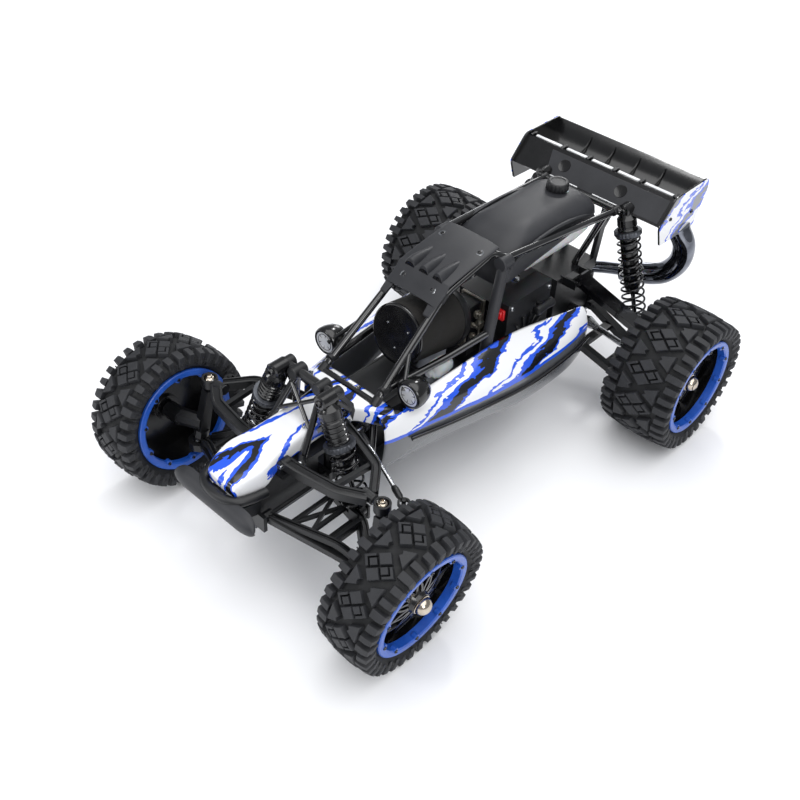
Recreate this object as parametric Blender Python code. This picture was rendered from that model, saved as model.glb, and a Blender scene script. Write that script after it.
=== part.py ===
"""A fifth-scale petrol off-road buggy, built piece by piece as it comes apart on the bench.

Frame: x forwards, y to the left, z up, with the origin on the floor under the middle of the buggy.
The sizes below are in millimetres and are measured from mid-wheelbase, which is where the model is
built. The last step moves the whole car so that its origin is the centre of its own footprint.
"""

import math

import bmesh
import bpy
from mathutils import Matrix, Vector

MM = 0.001  # one millimetre in Blender's metres
GAP = 0.3  # left between pieces that touch
OPEN_GAP = 1.6  # play in a joint that closes a linkage
CURL_POINTS = 8  # along one curl of a spring
FLAT_ANGLE = 0.5  # degrees between faces that count as one flat
SHARP_ANGLE = 35.0  # degrees at which an edge is drawn sharp
FLAT_LIMIT = 0.004  # how far a corner may lie off its face's flat
LEFT, RIGHT = 1, -1
SIDE_NAMES = {LEFT: "left", RIGHT: "right"}

# ---------------------------------------------------------------- wheels
WHEELBASE = 510.0
TYRE_RADIUS = 92.0
TREAD_DEPTH = 7.0
TREAD_PITCHES = 9
BEAD_RADIUS = 60.0
RING_RADIUS = 66.0
RIM_WALL = 3.0
FLANGE_THICKNESS = 4.0
RIM_SPOKES = 5
SPOKE_WIDTH = 4.5
SPOKE_DEPTH = 7.0
HUB_RADIUS = 15.0
HUB_LENGTH = 24.0
SPINDLE_RADIUS = 6.0
NUT_RADIUS = 9.0

FRONT_TYRE_WIDTH = 72.0
FRONT_RIM_WIDTH = 61.0
FRONT_WHEEL_Y = 193.5
FRONT_CAMBER = 6.0  # degrees, tops leaning out, as the suspension hangs at full droop
FRONT_DISC_INSET = 17.0  # from the outer ring face in to the middle of the spokes
REAR_TYRE_WIDTH = 98.0
REAR_RIM_WIDTH = 85.0
REAR_WHEEL_Y = 197.0
REAR_CAMBER = 0.0
REAR_DISC_INSET = 26.0

# ---------------------------------------------------------------- chassis and body
PLATE_BOTTOM_Z = 88.0
PLATE_TOP_Z = 92.0
BODY_WALL = 2.0
BUMPER_WIDTH = 132.0
BUMPER_HEIGHT = 46.0
BUMPER_THICKNESS = 4.0
BUMPER_X = 346.0
BUMPER_Z = 136.0
BUMPER_LEAN = 28.0  # degrees, the top leaning back
BLOCK_HALF_WIDTH = 22.0
LUG_INNER_Y = 24.5
LUG_OUTER_Y = 32.6
TOP_DECK_Z = 150.0
REAR_BLOCK_TOP = 172.0
BELLY_Z = 95.0
BAY_HALF = 47.5
CAGE_TUBE = 4.5
ROOF_THICKNESS = 3.0
BAR_Y = 45.1  # of the waist bar beside the lamps
LAMP_X = 117.0
LAMP_Y = 67.0
LAMP_Z = 192.0
LAMP_RADIUS = 14.5
FILTER_RADIUS = 38.0
FILTER_LENGTH = 104.0
FILTER_FRONT = Vector((66.0, 0.0, 214.0))
FILTER_AXIS = Vector((-92.0, 0.0, -17.0)).normalized()  # towards the engine
CAP_X = -224.0
CYLINDER_TOP = 196.0
HOUSING_FRONT_X = -72.0
HOUSING_SIDE_Y = 56.0
SWITCH_Y = 44.0
SWITCH_Z = 198.0
SWITCH_SIZE = 15.0
SWITCH_TRAVEL = 3.0
SWITCH_DEPTH = 4.5  # of the pocket that the switch is pressed into
WING_HALF_WIDTH = 121.0

# ---------------------------------------------------------------- front suspension, left side
HINGE_PIN_RADIUS = 2.5
EYE_WALL = 4.0
FRONT_LOWER_PIVOT_Y = 32.0
FRONT_LOWER_PIVOT_Z = 106.0
FRONT_LOWER_FORE = 46.0  # from the axle to the front leg, and the rear leg is as far behind
FRONT_UPPER_PIVOT_Y = 30.0
FRONT_UPPER_PIVOT_Z = 165.0
FRONT_UPPER_FRONT_X = 266.0
FRONT_UPPER_REAR_X = 180.0
LOWER_BALL = Vector((248.0, 148.0, 64.0))
UPPER_BALL = Vector((231.0, 140.0, 155.0))
LOWER_BALL_RADIUS = 8.0
UPPER_BALL_RADIUS = 6.5
STALK_RADIUS = 4.0
STEER_ARM_LENGTH = 36.0
STEER_ARM_Z = 129.0
FRONT_SHOCK_TOP = (213.0, 37.0, 226.0)
FRONT_SHOCK_FOOT = (213.0, 90.0, 98.0)
FRONT_CURLS = 6

# ---------------------------------------------------------------- steering
CRANK_X = 192.0
CRANK_Y = 24.0
CRANK_POST_RADIUS = 4.0
CRANK_ARM_Z = 144.5
CRANK_ARM_HEIGHT = 7.0
LINK_X = CRANK_X - STEER_ARM_LENGTH
LINK_Z = 154.0
LINK_HALF_LENGTH = 40.0
LINK_PIN_OUT = 8.7
LINK_PIN_RADIUS = 2.5
TIE_STUD_HEIGHT = 15.0
TIE_EYE_HEIGHT = 9.5
TIE_GAP = 2.6

# ---------------------------------------------------------------- rear suspension, left side
REAR_LOWER_PIVOT_Y = 42.0
REAR_LOWER_PIVOT_Z = 102.0
REAR_LOWER_FORE = 44.0
REAR_LOWER_OUT = (-255.0, 160.0, 60.0)
REAR_LOWER_OUT_HALF = 20.0
REAR_UPPER_IN = (-246.0, 46.0, 168.0)
REAR_UPPER_OUT = (-255.0, 160.0, 128.0)
REAR_UPPER_HALF = 20.0
REAR_SHOCK_TOP = (-290.0, 66.0, 264.0)
REAR_SHOCK_FOOT = (-290.0, 118.0, 98.0)
REAR_CURLS = 7
DRIVE_CUP_Y = 50.0
DRIVE_Z = 104.0
DRIVE_SHAFT_RADIUS = 4.0
DRIVE_OUTER_Y = 150.0

# ---------------------------------------------------------------- shocks
SHOCK_BODY_RADIUS = 11.5
SHOCK_ROD_RADIUS = 3.0
SPRING_RADIUS = 15.0
SPRING_WIRE = 1.5
SEAT_RADIUS = 18.0
SEAT_THICKNESS = 3.0
SHOCK_EYE_RADIUS = 9.0
SHOCK_PIN_RADIUS = 3.0


def point(x, y, z):
    """A place in millimetres as a vector."""
    return Vector((x, y, z))


def on_side(place, side):
    """The place on the left side of the car, or its mirror image on the right."""
    return Vector((place[0], place[1] * side, place[2]))


# ================================================================ shapes
def solid(points, faces):
    """A helper object that holds one closed mesh, with its normals facing out."""
    mesh = bpy.data.meshes.new("helper")
    mesh.from_pydata([Vector(p) * MM for p in points], [], faces)
    shape = bmesh.new()
    shape.from_mesh(mesh)
    bmesh.ops.recalc_face_normals(shape, faces=shape.faces)
    shape.to_mesh(mesh)
    shape.free()
    helper = bpy.data.objects.new("helper", mesh)
    bpy.context.scene.collection.objects.link(helper)
    return helper


def frame_along(direction):
    """Two unit vectors square to the direction, for rings drawn round it."""
    along = Vector(direction).normalized()
    guide = Vector((1, 0, 0)) if abs(along.x) < 0.9 else Vector((0, 0, 1))
    across = along.cross(guide).normalized()
    return across, along.cross(across)


def ring(centre, across, up, radius, sides):
    """Points round a circle."""
    turns = [2 * math.pi * k / sides for k in range(sides)]
    return [centre + across * (radius * math.cos(t)) + up * (radius * math.sin(t)) for t in turns]


def loft(sections):
    """A solid skinned through loops of equally many points and closed by flat ends."""
    count = len(sections[0])
    points = [p for loop in sections for p in loop]
    faces = [list(range(count)), list(range(len(points) - count, len(points)))]
    for row in range(len(sections) - 1):
        for k in range(count):
            a, b = row * count + k, row * count + (k + 1) % count
            faces.append([a, b, b + count, a + count])
    return solid(points, faces)


def rod(start, end, radius, end_radius=None, sides=8):
    """A round bar or cone between two places."""
    start, end = Vector(start), Vector(end)
    across, up = frame_along(end - start)
    last = radius if end_radius is None else end_radius
    return loft([ring(start, across, up, radius, sides), ring(end, across, up, last, sides)])


def bent_tube(path, radius, sides=6):
    """A round bar along a path, mitred where it bends."""
    path = [Vector(p) for p in path]
    across, up = frame_along(path[1] - path[0])
    loops = []
    for k, place in enumerate(path):
        before = (place - path[max(k - 1, 0)]).normalized()
        after = (path[min(k + 1, len(path) - 1)] - place).normalized()
        tangent = (before + after).normalized()
        across = (across - tangent * across.dot(tangent)).normalized()
        up = tangent.cross(across)
        loops.append(ring(place, across, up, radius, sides))
    return loft(loops)


def block(low, high):
    """A box between two corners."""
    corners = [(low[0], high[0]), (low[1], high[1]), (low[2], high[2])]
    (x0, x1), (y0, y1), (z0, z1) = [sorted(pair) for pair in corners]
    base = [point(x0, y0, z0), point(x1, y0, z0), point(x1, y1, z0), point(x0, y1, z0)]
    return loft([base, [p + point(0, 0, z1 - z0) for p in base]])


def beam(start, end, width, height, end_width=None, end_height=None, flat=(1, 0, 0)):
    """A bar of rectangular section. Its width lies along flat as nearly as it can."""
    start, end = Vector(start), Vector(end)
    along = (end - start).normalized()
    wide = (Vector(flat) - along * along.dot(Vector(flat))).normalized()
    tall = along.cross(wide)
    loops = []
    for place, w, h in (
        (start, width, height),
        (end, end_width or width, end_height or height),
    ):
        a, b = wide * (w / 2), tall * (h / 2)
        loops.append([place - a - b, place + a - b, place + a + b, place - a + b])
    return loft(loops)


def plate(outline, low, high, lift=None):
    """A flat outline drawn in x and y, extruded from low to high, then moved by the matrix lift."""
    lift = lift or Matrix.Identity(4)
    return loft([[lift @ point(x, y, z) for x, y in outline] for z in (low, high)])


def turned(profile, centre, axis, sides=12):
    """A profile of (radius, distance along the axis) spun round the axis.

    A profile that starts and ends on the axis makes a solid, and any other one closes on itself as a ring.
    """
    axis = Vector(axis).normalized()
    across, up = frame_along(axis)
    centre = Vector(centre)
    points, rows = [], []
    for radius, along in profile:
        if radius == 0:
            rows.append([len(points)] * sides)
            points.append(centre + axis * along)
            continue
        rows.append(list(range(len(points), len(points) + sides)))
        for k in range(sides):
            turn = 2 * math.pi * k / sides
            spoke = across * math.cos(turn) + up * math.sin(turn)
            points.append(centre + axis * along + spoke * radius)
    if profile[0][0] != 0:
        rows.append(rows[0])
    faces = []
    for first, second in zip(rows, rows[1:]):
        for k in range(sides):
            n = (k + 1) % sides
            corners = [first[k], first[n], second[n], second[k]]
            faces.append(list(dict.fromkeys(corners)))
    return solid(points, faces)


def ball(centre, radius, sides=8):
    """A sphere."""
    rings = sides // 2
    profile = [
        (radius * math.sin(math.pi * k / rings), -radius * math.cos(math.pi * k / rings))
        for k in range(rings + 1)
    ]
    profile[0], profile[-1] = (0, -radius), (0, radius)
    return turned(profile, centre, (0, 0, 1), sides)


def pipe(start, end, radius, bore, sides=8):
    """A bush: a short tube between two places."""
    start, end = Vector(start), Vector(end)
    length = (end - start).length
    loop = [(bore, 0), (radius, 0), (radius, length), (bore, length)]
    return turned(loop, start, end - start, sides)


def rounded(width, height, radius, steps=3):
    """A rectangle about the origin with round corners, as a list of points."""
    outline = []
    for corner, (cx, cy) in enumerate(((1, 1), (-1, 1), (-1, -1), (1, -1))):
        for k in range(steps + 1):
            turn = math.pi / 2 * (corner + k / steps)
            outline.append(
                (
                    cx * (width / 2 - radius) + radius * math.cos(turn),
                    cy * (height / 2 - radius) + radius * math.sin(turn),
                )
            )
    return outline


def fuse(solids, cuts=()):
    """Joins solids that overlap into one, and takes the cutters out of it."""
    base = solids[0]
    steps = [(other, "UNION") for other in solids[1:]] + [(cutter, "DIFFERENCE") for cutter in cuts]
    for other, operation in steps:
        step = base.modifiers.new("fuse", "BOOLEAN")
        step.operation = operation
        step.solver = "EXACT"
        step.object = other
    graph = bpy.context.evaluated_depsgraph_get()
    mesh = bpy.data.meshes.new_from_object(base.evaluated_get(graph))
    for helper in [*solids, *cuts]:
        bpy.data.objects.remove(helper)
    tidy = bmesh.new()
    tidy.from_mesh(mesh)
    flat = math.radians(FLAT_ANGLE)
    bmesh.ops.dissolve_limit(tidy, angle_limit=flat, verts=tidy.verts, edges=tidy.edges)
    tidy.to_mesh(mesh)
    tidy.free()
    result = bpy.data.objects.new("helper", mesh)
    bpy.context.scene.collection.objects.link(result)
    return result


# ================================================================ materials and nodes
def finish(name, colour, roughness, metallic=0.0):
    """A plain shader with the piece's own colour."""
    material = bpy.data.materials.new(name)
    material.use_nodes = True
    shader = material.node_tree.nodes["Principled BSDF"]
    shader.inputs["Base Color"].default_value = (*colour, 1)
    shader.inputs["Roughness"].default_value = roughness
    shader.inputs["Metallic"].default_value = metallic
    return material


def cut_uneven(mesh):
    """Cuts every face whose corners don't lie in one flat into triangles."""
    shape = bmesh.new()
    shape.from_mesh(mesh)
    uneven = []
    for face in shape.faces:
        middle = face.calc_center_median()
        if max(abs((v.co - middle).dot(face.normal)) for v in face.verts) > FLAT_LIMIT * MM:
            uneven.append(face)
    bmesh.ops.triangulate(shape, faces=uneven)
    shape.to_mesh(mesh)
    shape.free()


def node(name, shape, material, pivot=(0, 0, 0)):
    """Turns a finished shape into a named piece, with its origin on its joint's axis."""
    pivot = Vector(pivot) * MM
    cut_uneven(shape.data)
    shape.name = name
    shape.data.name = name
    shape.data.transform(Matrix.Translation(-pivot))
    shape.location = pivot
    shape.parent = CAR
    shape.data.materials.clear()
    shape.data.materials.append(material)
    shape.data.shade_smooth()
    shape.data.set_sharp_from_angle(angle=math.radians(SHARP_ANGLE))
    return shape


for stale in list(bpy.data.objects):
    bpy.data.objects.remove(stale)

CAR = bpy.data.objects.new("car", None)
bpy.context.scene.collection.objects.link(CAR)
PLASTIC = finish("black_nylon", (0.02, 0.021, 0.023), 0.45)
RUBBER = finish("tyre_rubber", (0.025, 0.025, 0.027), 0.75)
STEEL = finish("spring_steel", (0.02, 0.02, 0.02), 0.25, 0.9)
BRIGHT = finish("bright_steel", (0.6, 0.57, 0.53), 0.2, 1.0)
ALLOY = finish("alloy_plate", (0.35, 0.36, 0.37), 0.35, 0.9)
LEXAN = finish("painted_lexan", (0.85, 0.87, 0.9), 0.2)
FOAM = finish("filter_foam", (0.02, 0.02, 0.02), 0.95)
TANK = finish("white_tank", (0.8, 0.82, 0.84), 0.4)
CHROME = finish("chrome_pipe", (0.8, 0.81, 0.83), 0.08, 1.0)
RED = finish("red_switch", (0.75, 0.03, 0.03), 0.4)

FRONT_AXLE_X = WHEELBASE / 2
REAR_AXLE_X = -WHEELBASE / 2
WHEEL_SIDES = 2 * TREAD_PITCHES


# ================================================================ wheels
class Wheel:
    """The sizes, place and axis of one wheel. The axis points outwards."""

    def __init__(self, corner, side):
        front = corner == "front"
        self.name = corner + ("_left" if side == LEFT else "_right")
        self.tyre_width = FRONT_TYRE_WIDTH if front else REAR_TYRE_WIDTH
        self.rim_width = FRONT_RIM_WIDTH if front else REAR_RIM_WIDTH
        self.disc_inset = FRONT_DISC_INSET if front else REAR_DISC_INSET
        camber = math.radians(FRONT_CAMBER if front else REAR_CAMBER)
        self.axis = Vector((0, side * math.cos(camber), -math.sin(camber)))
        x = FRONT_AXLE_X if front else REAR_AXLE_X
        self.centre = point(x, side * (FRONT_WHEEL_Y if front else REAR_WHEEL_Y), TYRE_RADIUS)

    def along(self, distance):
        """The place on the axis this far outwards of the wheel's centre."""
        return self.centre + self.axis * distance


def tyre_profile(wheel):
    """Half the section of a tyre as (radius, distance out), from its bead to the crown's edge."""
    bead = wheel.rim_width / 2 - FLANGE_THICKNESS - GAP
    edge = wheel.tyre_width / 2
    base = TYRE_RADIUS - TREAD_DEPTH
    return [
        (BEAD_RADIUS + GAP, bead),
        (RING_RADIUS + 2, bead),
        (base - 9, edge),
        (base, edge * 0.42),
    ]


def tyre(wheel):
    """A tyre with rows of blocks that stand out of the tread, staggered from row to row."""
    half = tyre_profile(wheel)
    profile = half + [(r, -t) for r, t in reversed(half)]
    shape = turned(profile, wheel.centre, wheel.axis, WHEEL_SIDES)
    mesh = bmesh.new()
    mesh.from_mesh(shape.data)
    mesh.faces.ensure_lookup_table()
    rows = len(profile)
    first_row = len(half) - 2
    lugs = []
    for face in mesh.faces:
        row, sector = divmod(face.index, WHEEL_SIDES)
        if first_row <= row < rows - 1 - first_row and (row + sector) % 2:
            lugs.append(face)
    bmesh.ops.inset_individual(
        mesh, faces=lugs, thickness=0.9 * MM, depth=(TREAD_DEPTH - 0.6) * MM, use_even_offset=True
    )
    mesh.to_mesh(shape.data)
    mesh.free()
    return node("tyre_" + wheel.name, shape, RUBBER, wheel.centre)


def rim(wheel):
    """A rim: its barrel with a flange at each face, crossed spokes, and a bored hub."""
    half = wheel.rim_width / 2
    inner = BEAD_RADIUS - RIM_WALL
    profile = [
        (inner, half),
        (RING_RADIUS, half),
        (RING_RADIUS, half - FLANGE_THICKNESS),
        (BEAD_RADIUS, half - FLANGE_THICKNESS),
        (BEAD_RADIUS, FLANGE_THICKNESS - half),
        (RING_RADIUS, FLANGE_THICKNESS - half),
        (RING_RADIUS, -half),
        (inner, -half),
    ]
    barrel = turned(profile, wheel.centre, wheel.axis, WHEEL_SIDES)
    disc = half - wheel.disc_inset
    low, high = disc - HUB_LENGTH / 2, disc + HUB_LENGTH / 2
    bore = SPINDLE_RADIUS + 2 * GAP
    hub_profile = [(bore, low), (HUB_RADIUS, low), (HUB_RADIUS, high), (bore, high)]
    hub = turned(hub_profile, wheel.centre, wheel.axis, 8)
    across, up = frame_along(wheel.axis)
    spokes = []
    for k in range(RIM_SPOKES):
        turn = 2 * math.pi * (k + 0.5) / RIM_SPOKES
        lean = turn + 0.32 * (-1) ** k
        start = across * math.cos(turn) + up * math.sin(turn)
        end = across * math.cos(lean) + up * math.sin(lean)
        centre = wheel.along(disc)
        spoke = beam(
            centre + start * (HUB_RADIUS - 2),
            centre + end * (inner + 1.2),
            SPOKE_DEPTH,
            SPOKE_WIDTH,
            flat=wheel.axis,
        )
        spokes.append(spoke)
    return node("rim_" + wheel.name, fuse([barrel, hub, *spokes]), PLASTIC, wheel.centre)


def stub_axle(wheel, start):
    """The spindle that a wheel turns on, with its nut outside the hub, as solids to fuse."""
    disc = wheel.rim_width / 2 - wheel.disc_inset
    outer = disc + HUB_LENGTH / 2 + GAP
    inner = disc - HUB_LENGTH / 2 - GAP
    return [
        rod(wheel.along(start), wheel.along(outer + 8), SPINDLE_RADIUS),
        rod(wheel.along(outer), wheel.along(outer + 9), NUT_RADIUS, NUT_RADIUS - 2),
        rod(wheel.along(start), wheel.along(inner), SPINDLE_RADIUS + 5),
    ]


# ================================================================ shocks
def shock(name, top, foot, curls, side, taper=0.0):
    """A shock in three pieces: its body, its rod and the coil spring between their seats."""
    top, foot = on_side(top, side), on_side(foot, side)
    down = (foot - top).normalized()
    length = (foot - top).length
    pin_way = Vector((1, 0, 0))
    seat_low = length - SHOCK_EYE_RADIUS - 7.0
    seat_high = 27.0
    tube_end = length * 0.66
    head = pipe(top - pin_way * 6, top + pin_way * 6, SHOCK_EYE_RADIUS, SHOCK_PIN_RADIUS + GAP)
    inside = SHOCK_ROD_RADIUS + GAP
    cap_radius = SHOCK_BODY_RADIUS + 1.5
    cap_top = 12.0
    collar_top = seat_high - SEAT_THICKNESS
    body_profile = [
        (0, 7.0), (7.0, 7.0), (7.0, cap_top), (cap_radius, cap_top), (cap_radius, collar_top),
        (SEAT_RADIUS, collar_top), (SEAT_RADIUS, seat_high), (SHOCK_BODY_RADIUS, seat_high),
        (SHOCK_BODY_RADIUS, tube_end), (inside, tube_end), (inside, seat_high + 6.0),
        (0, seat_high + 6.0),
    ]
    tube = turned(body_profile, top, down, 10)
    bore = rod(top - pin_way * 9, top + pin_way * 9, SHOCK_PIN_RADIUS + GAP)
    node("shock_body_" + name, fuse([tube, head], [bore]), PLASTIC, top)

    shaft_top = tube_end - 10.0
    foot_bore = SHOCK_PIN_RADIUS + OPEN_GAP
    foot_eye = pipe(foot - pin_way * 5, foot + pin_way * 5, SHOCK_EYE_RADIUS - 1.8, foot_bore)
    shaft_end = length - foot_bore - 0.6
    rod_profile = [
        (0, shaft_top), (SHOCK_ROD_RADIUS, shaft_top), (SHOCK_ROD_RADIUS, seat_low),
        (SEAT_RADIUS, seat_low), (SEAT_RADIUS, seat_low + SEAT_THICKNESS),
        (5.0, seat_low + SEAT_THICKNESS), (5.0, shaft_end), (0, shaft_end),
    ]
    shaft = turned(rod_profile, top, down, 8)
    node("shock_rod_" + name, fuse([shaft, foot_eye]), BRIGHT, foot)
    coil("spring_" + name, top, down, seat_high + GAP, seat_low - GAP, curls, taper)


def coil(name, top, down, start, end, curls, taper):
    """A compression spring as one tube whose ends stand square on the seats."""
    across, up = frame_along(down)
    lead = 2 * SPRING_WIRE
    first, last = start + lead + SPRING_WIRE, end - lead - SPRING_WIRE
    count = CURL_POINTS * curls
    places = []
    for k in range(count + 1):
        part = k / count
        turn = 2 * math.pi * k / CURL_POINTS
        radius = SPRING_RADIUS - taper * part
        out = across * (radius * math.cos(turn)) + up * (radius * math.sin(turn))
        places.append(top + down * (first + (last - first) * part) + out)
    places.insert(0, places[0] - down * (lead + SPRING_WIRE))
    places.append(places[-1] + down * (lead + SPRING_WIRE))
    loops = [places[k] for k in range(1, len(places) - 1)]
    least = min(
        (loops[k] - loops[n]).length - 2 * SPRING_WIRE
        for k in range(len(loops))
        for n in range(k + CURL_POINTS // 2, min(k + CURL_POINTS + 3, len(loops)))
    )
    print(f"{name}: least gap to itself {least:.2f} mm")
    curve = bpy.data.curves.new(name, "CURVE")
    curve.dimensions = "3D"
    curve.bevel_depth = SPRING_WIRE * MM
    curve.bevel_resolution = 1
    curve.use_fill_caps = True
    line = curve.splines.new("POLY")
    line.points.add(len(places) - 1)
    for place, spot in zip(line.points, places):
        place.co = (*((spot - top) * MM), 1)
    spring = bpy.data.objects.new(name, curve)
    bpy.context.scene.collection.objects.link(spring)
    spring.location = top * MM
    spring.parent = CAR
    curve.materials.append(STEEL)


# ================================================================ front suspension and steering
def kingpin(z):
    """The place on the left kingpin axis at this height."""
    low, high = Vector(LOWER_BALL), Vector(UPPER_BALL)
    return low + (high - low) * ((z - low.z) / (high.z - low.z))


def eye(place, half, radius=None):
    """A pivot eye along x round a hinge pin."""
    way = Vector((half, 0, 0))
    outside = radius or HINGE_PIN_RADIUS + EYE_WALL
    return pipe(place - way, place + way, outside, HINGE_PIN_RADIUS + GAP)


def pin_hole(place, half):
    """The cutter that clears a hinge pin through an arm."""
    way = Vector((half, 0, 0))
    return rod(place - way, place + way, HINGE_PIN_RADIUS + GAP)


def front_lower_arm(side):
    """The wide lower arm, with its ball socket at the outer end and the shock's lugs on top."""
    x_front, x_rear = FRONT_AXLE_X + FRONT_LOWER_FORE, FRONT_AXLE_X - FRONT_LOWER_FORE
    inner_front = point(x_front - 6, FRONT_LOWER_PIVOT_Y * side, FRONT_LOWER_PIVOT_Z)
    inner_rear = point(x_rear + 6, FRONT_LOWER_PIVOT_Y * side, FRONT_LOWER_PIVOT_Z)
    outer = on_side(LOWER_BALL, side)
    slope = (outer.z - FRONT_LOWER_PIVOT_Z) / (abs(outer.y) - FRONT_LOWER_PIVOT_Y)

    def on_arm(x, y, above=0.0):
        return point(x, y * side, FRONT_LOWER_PIVOT_Z + slope * (y - FRONT_LOWER_PIVOT_Y) + above)

    lug_y = FRONT_SHOCK_FOOT[1]
    shock_x = FRONT_SHOCK_FOOT[0]
    foot = on_side(FRONT_SHOCK_FOOT, side)
    socket = LOWER_BALL_RADIUS + 2 * GAP
    solids = [
        beam(inner_front + point(0, 3 * side, -1), on_arm(x_front - 38, 108), 9, 9),
        beam(on_arm(x_front - 38, 106), on_arm(outer.x + 3, abs(outer.y) - 13), 11, 9),
        beam(inner_rear + point(0, 3 * side, -1), on_arm(x_rear + 8, 100), 10, 9),
        beam(on_arm(x_rear + 7, 97), on_arm(outer.x - 3, abs(outer.y) - 13), 11, 9),
        beam(on_arm(x_rear + 4, 92), on_arm(x_front - 32, 92), 13, 6, flat=(0, 1, 0)),
        pipe(outer - point(0, 0, 5), outer + point(0, 0, 5), LOWER_BALL_RADIUS + 6, socket, 10),
        eye(inner_front, 6),
        eye(inner_rear, 6),
        beam(on_arm(shock_x - 8.5, lug_y, -1), foot + point(-8.5, 0, 5), 3, 14),
        beam(on_arm(shock_x + 8.5, lug_y, -1), foot + point(8.5, 0, 5), 3, 14),
        rod(foot - point(9, 0, 0), foot + point(9, 0, 0), SHOCK_PIN_RADIUS),
    ]
    cuts = [pin_hole(inner_front, 9), pin_hole(inner_rear, 9)]
    return node(f"front_lower_arm_{SIDE_NAMES[side]}", fuse(solids, cuts), PLASTIC, inner_rear)


def front_upper_arm(side):
    """The V-shaped upper arm, whose outer ring goes loosely round the upright's ball."""
    front = point(FRONT_UPPER_FRONT_X, FRONT_UPPER_PIVOT_Y * side, FRONT_UPPER_PIVOT_Z)
    rear = point(FRONT_UPPER_REAR_X, FRONT_UPPER_PIVOT_Y * side, FRONT_UPPER_PIVOT_Z)
    outer = on_side(UPPER_BALL, side)
    ring_in = UPPER_BALL_RADIUS + OPEN_GAP
    ring_out = ring_in + 3.5
    front_knee = point(254, 90 * side, 161)
    rear_knee = point(202, 98 * side, 160)
    neck = outer - point(0, (ring_out - 1.5) * side, 0)
    solids = [
        beam(front + point(0, 3 * side, 0), front_knee, 9, 9),
        beam(front_knee - point(0, 2 * side, 0), neck + point(3, 0, 0), 9, 9, 10, 8),
        beam(rear + point(0, 3 * side, 0), rear_knee, 8, 8),
        beam(rear_knee - point(0, 2 * side, 0), neck + point(-3, 0, 0), 8, 8, 10, 8),
        pipe(outer - point(0, 0, 4.5), outer + point(0, 0, 4.5), ring_out, ring_in, 10),
        eye(front, 5),
        eye(rear, 5),
    ]
    cuts = [pin_hole(front, 8), pin_hole(rear, 8)]
    return node(f"front_upper_arm_{SIDE_NAMES[side]}", fuse(solids, cuts), PLASTIC, front)


def front_upright(side, wheel):
    """The lower ball with its stalk, and the upright that steers on it."""
    low = on_side(LOWER_BALL, side)
    high = on_side(UPPER_BALL, side)
    up = (high - low).normalized()
    stalk = fuse([ball(low, LOWER_BALL_RADIUS), rod(low, low + up * 19, STALK_RADIUS)])
    node(f"front_lower_ball_{SIDE_NAMES[side]}", stalk, BRIGHT, low)

    arm_root = on_side(kingpin(STEER_ARM_Z), side)
    stud = arm_root - point(STEER_ARM_LENGTH, 0, 0)
    axle_root = on_side(kingpin(TYRE_RADIUS + 2), side)
    bore = STALK_RADIUS + 2 * GAP
    carrier = [
        turned([(bore, 10), (9.0, 10), (9.0, 21), (bore, 21)], low, up, 8),
        beam(low + up * 20.2, high - up * 12, 14, 12, 12, 10),
        rod(high - up * 16, high, 3.5),
        ball(high, UPPER_BALL_RADIUS),
        beam(arm_root + point(2, 0, 0), stud, 8, 6, 8, 4, flat=(0, 1, 0)),
        rod(stud - point(0, 0, 2), stud + point(0, 0, TIE_STUD_HEIGHT), 2.5),
        rod(axle_root, wheel.along(-18), 10, 11),
        *stub_axle(wheel, -24),
    ]
    return node(f"front_upright_{SIDE_NAMES[side]}", fuse(carrier), PLASTIC, low)


def tie_rod(side):
    """The rod from the steering link to the upright's arm."""
    inner = point(LINK_X + LINK_PIN_OUT, LINK_HALF_LENGTH * side, LINK_Z)
    stud = on_side(kingpin(STEER_ARM_Z), side) - point(STEER_ARM_LENGTH, 0, 0)
    outer = stud + point(0, 0, TIE_EYE_HEIGHT)
    solids = [
        eye(inner, 4.0, 6.0),
        beam(inner + point(0, 3.5 * side, 0), outer + (inner - outer).normalized() * 6.5, 5, 5),
        pipe(outer - point(0, 0, 2), outer + point(0, 0, 2), 9.0, 2.5 + TIE_GAP, 12),
    ]
    cuts = [pin_hole(inner, 6)]
    return node(f"tie_rod_{SIDE_NAMES[side]}", fuse(solids, cuts), BRIGHT, inner)


def steering_crank(side):
    """A bell crank that turns on its post under the upper deck."""
    pivot = point(CRANK_X, CRANK_Y * side, 0)
    end = point(LINK_X, CRANK_Y * side, CRANK_ARM_Z)
    half = CRANK_ARM_HEIGHT / 2
    bore, low, high = CRANK_POST_RADIUS + 2 * GAP, PLATE_TOP_Z + GAP, TOP_DECK_Z - 1.5
    solids = [
        turned([(bore, low), (9, low), (9, high), (bore, high)], pivot, (0, 0, 1), 8),
        beam(point(CRANK_X - 7, end.y, CRANK_ARM_Z), end, 10, CRANK_ARM_HEIGHT, flat=(0, 1, 0)),
        rod(end - point(0, 0, half), end + point(0, 0, half), 6.0),
    ]
    hole = rod(end - point(0, 0, 5), end + point(0, 0, 5), LINK_PIN_RADIUS + GAP)
    name = f"steering_crank_{SIDE_NAMES[side]}"
    return node(name, fuse(solids, [hole]), PLASTIC, pivot + point(0, 0, CRANK_ARM_Z))


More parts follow.
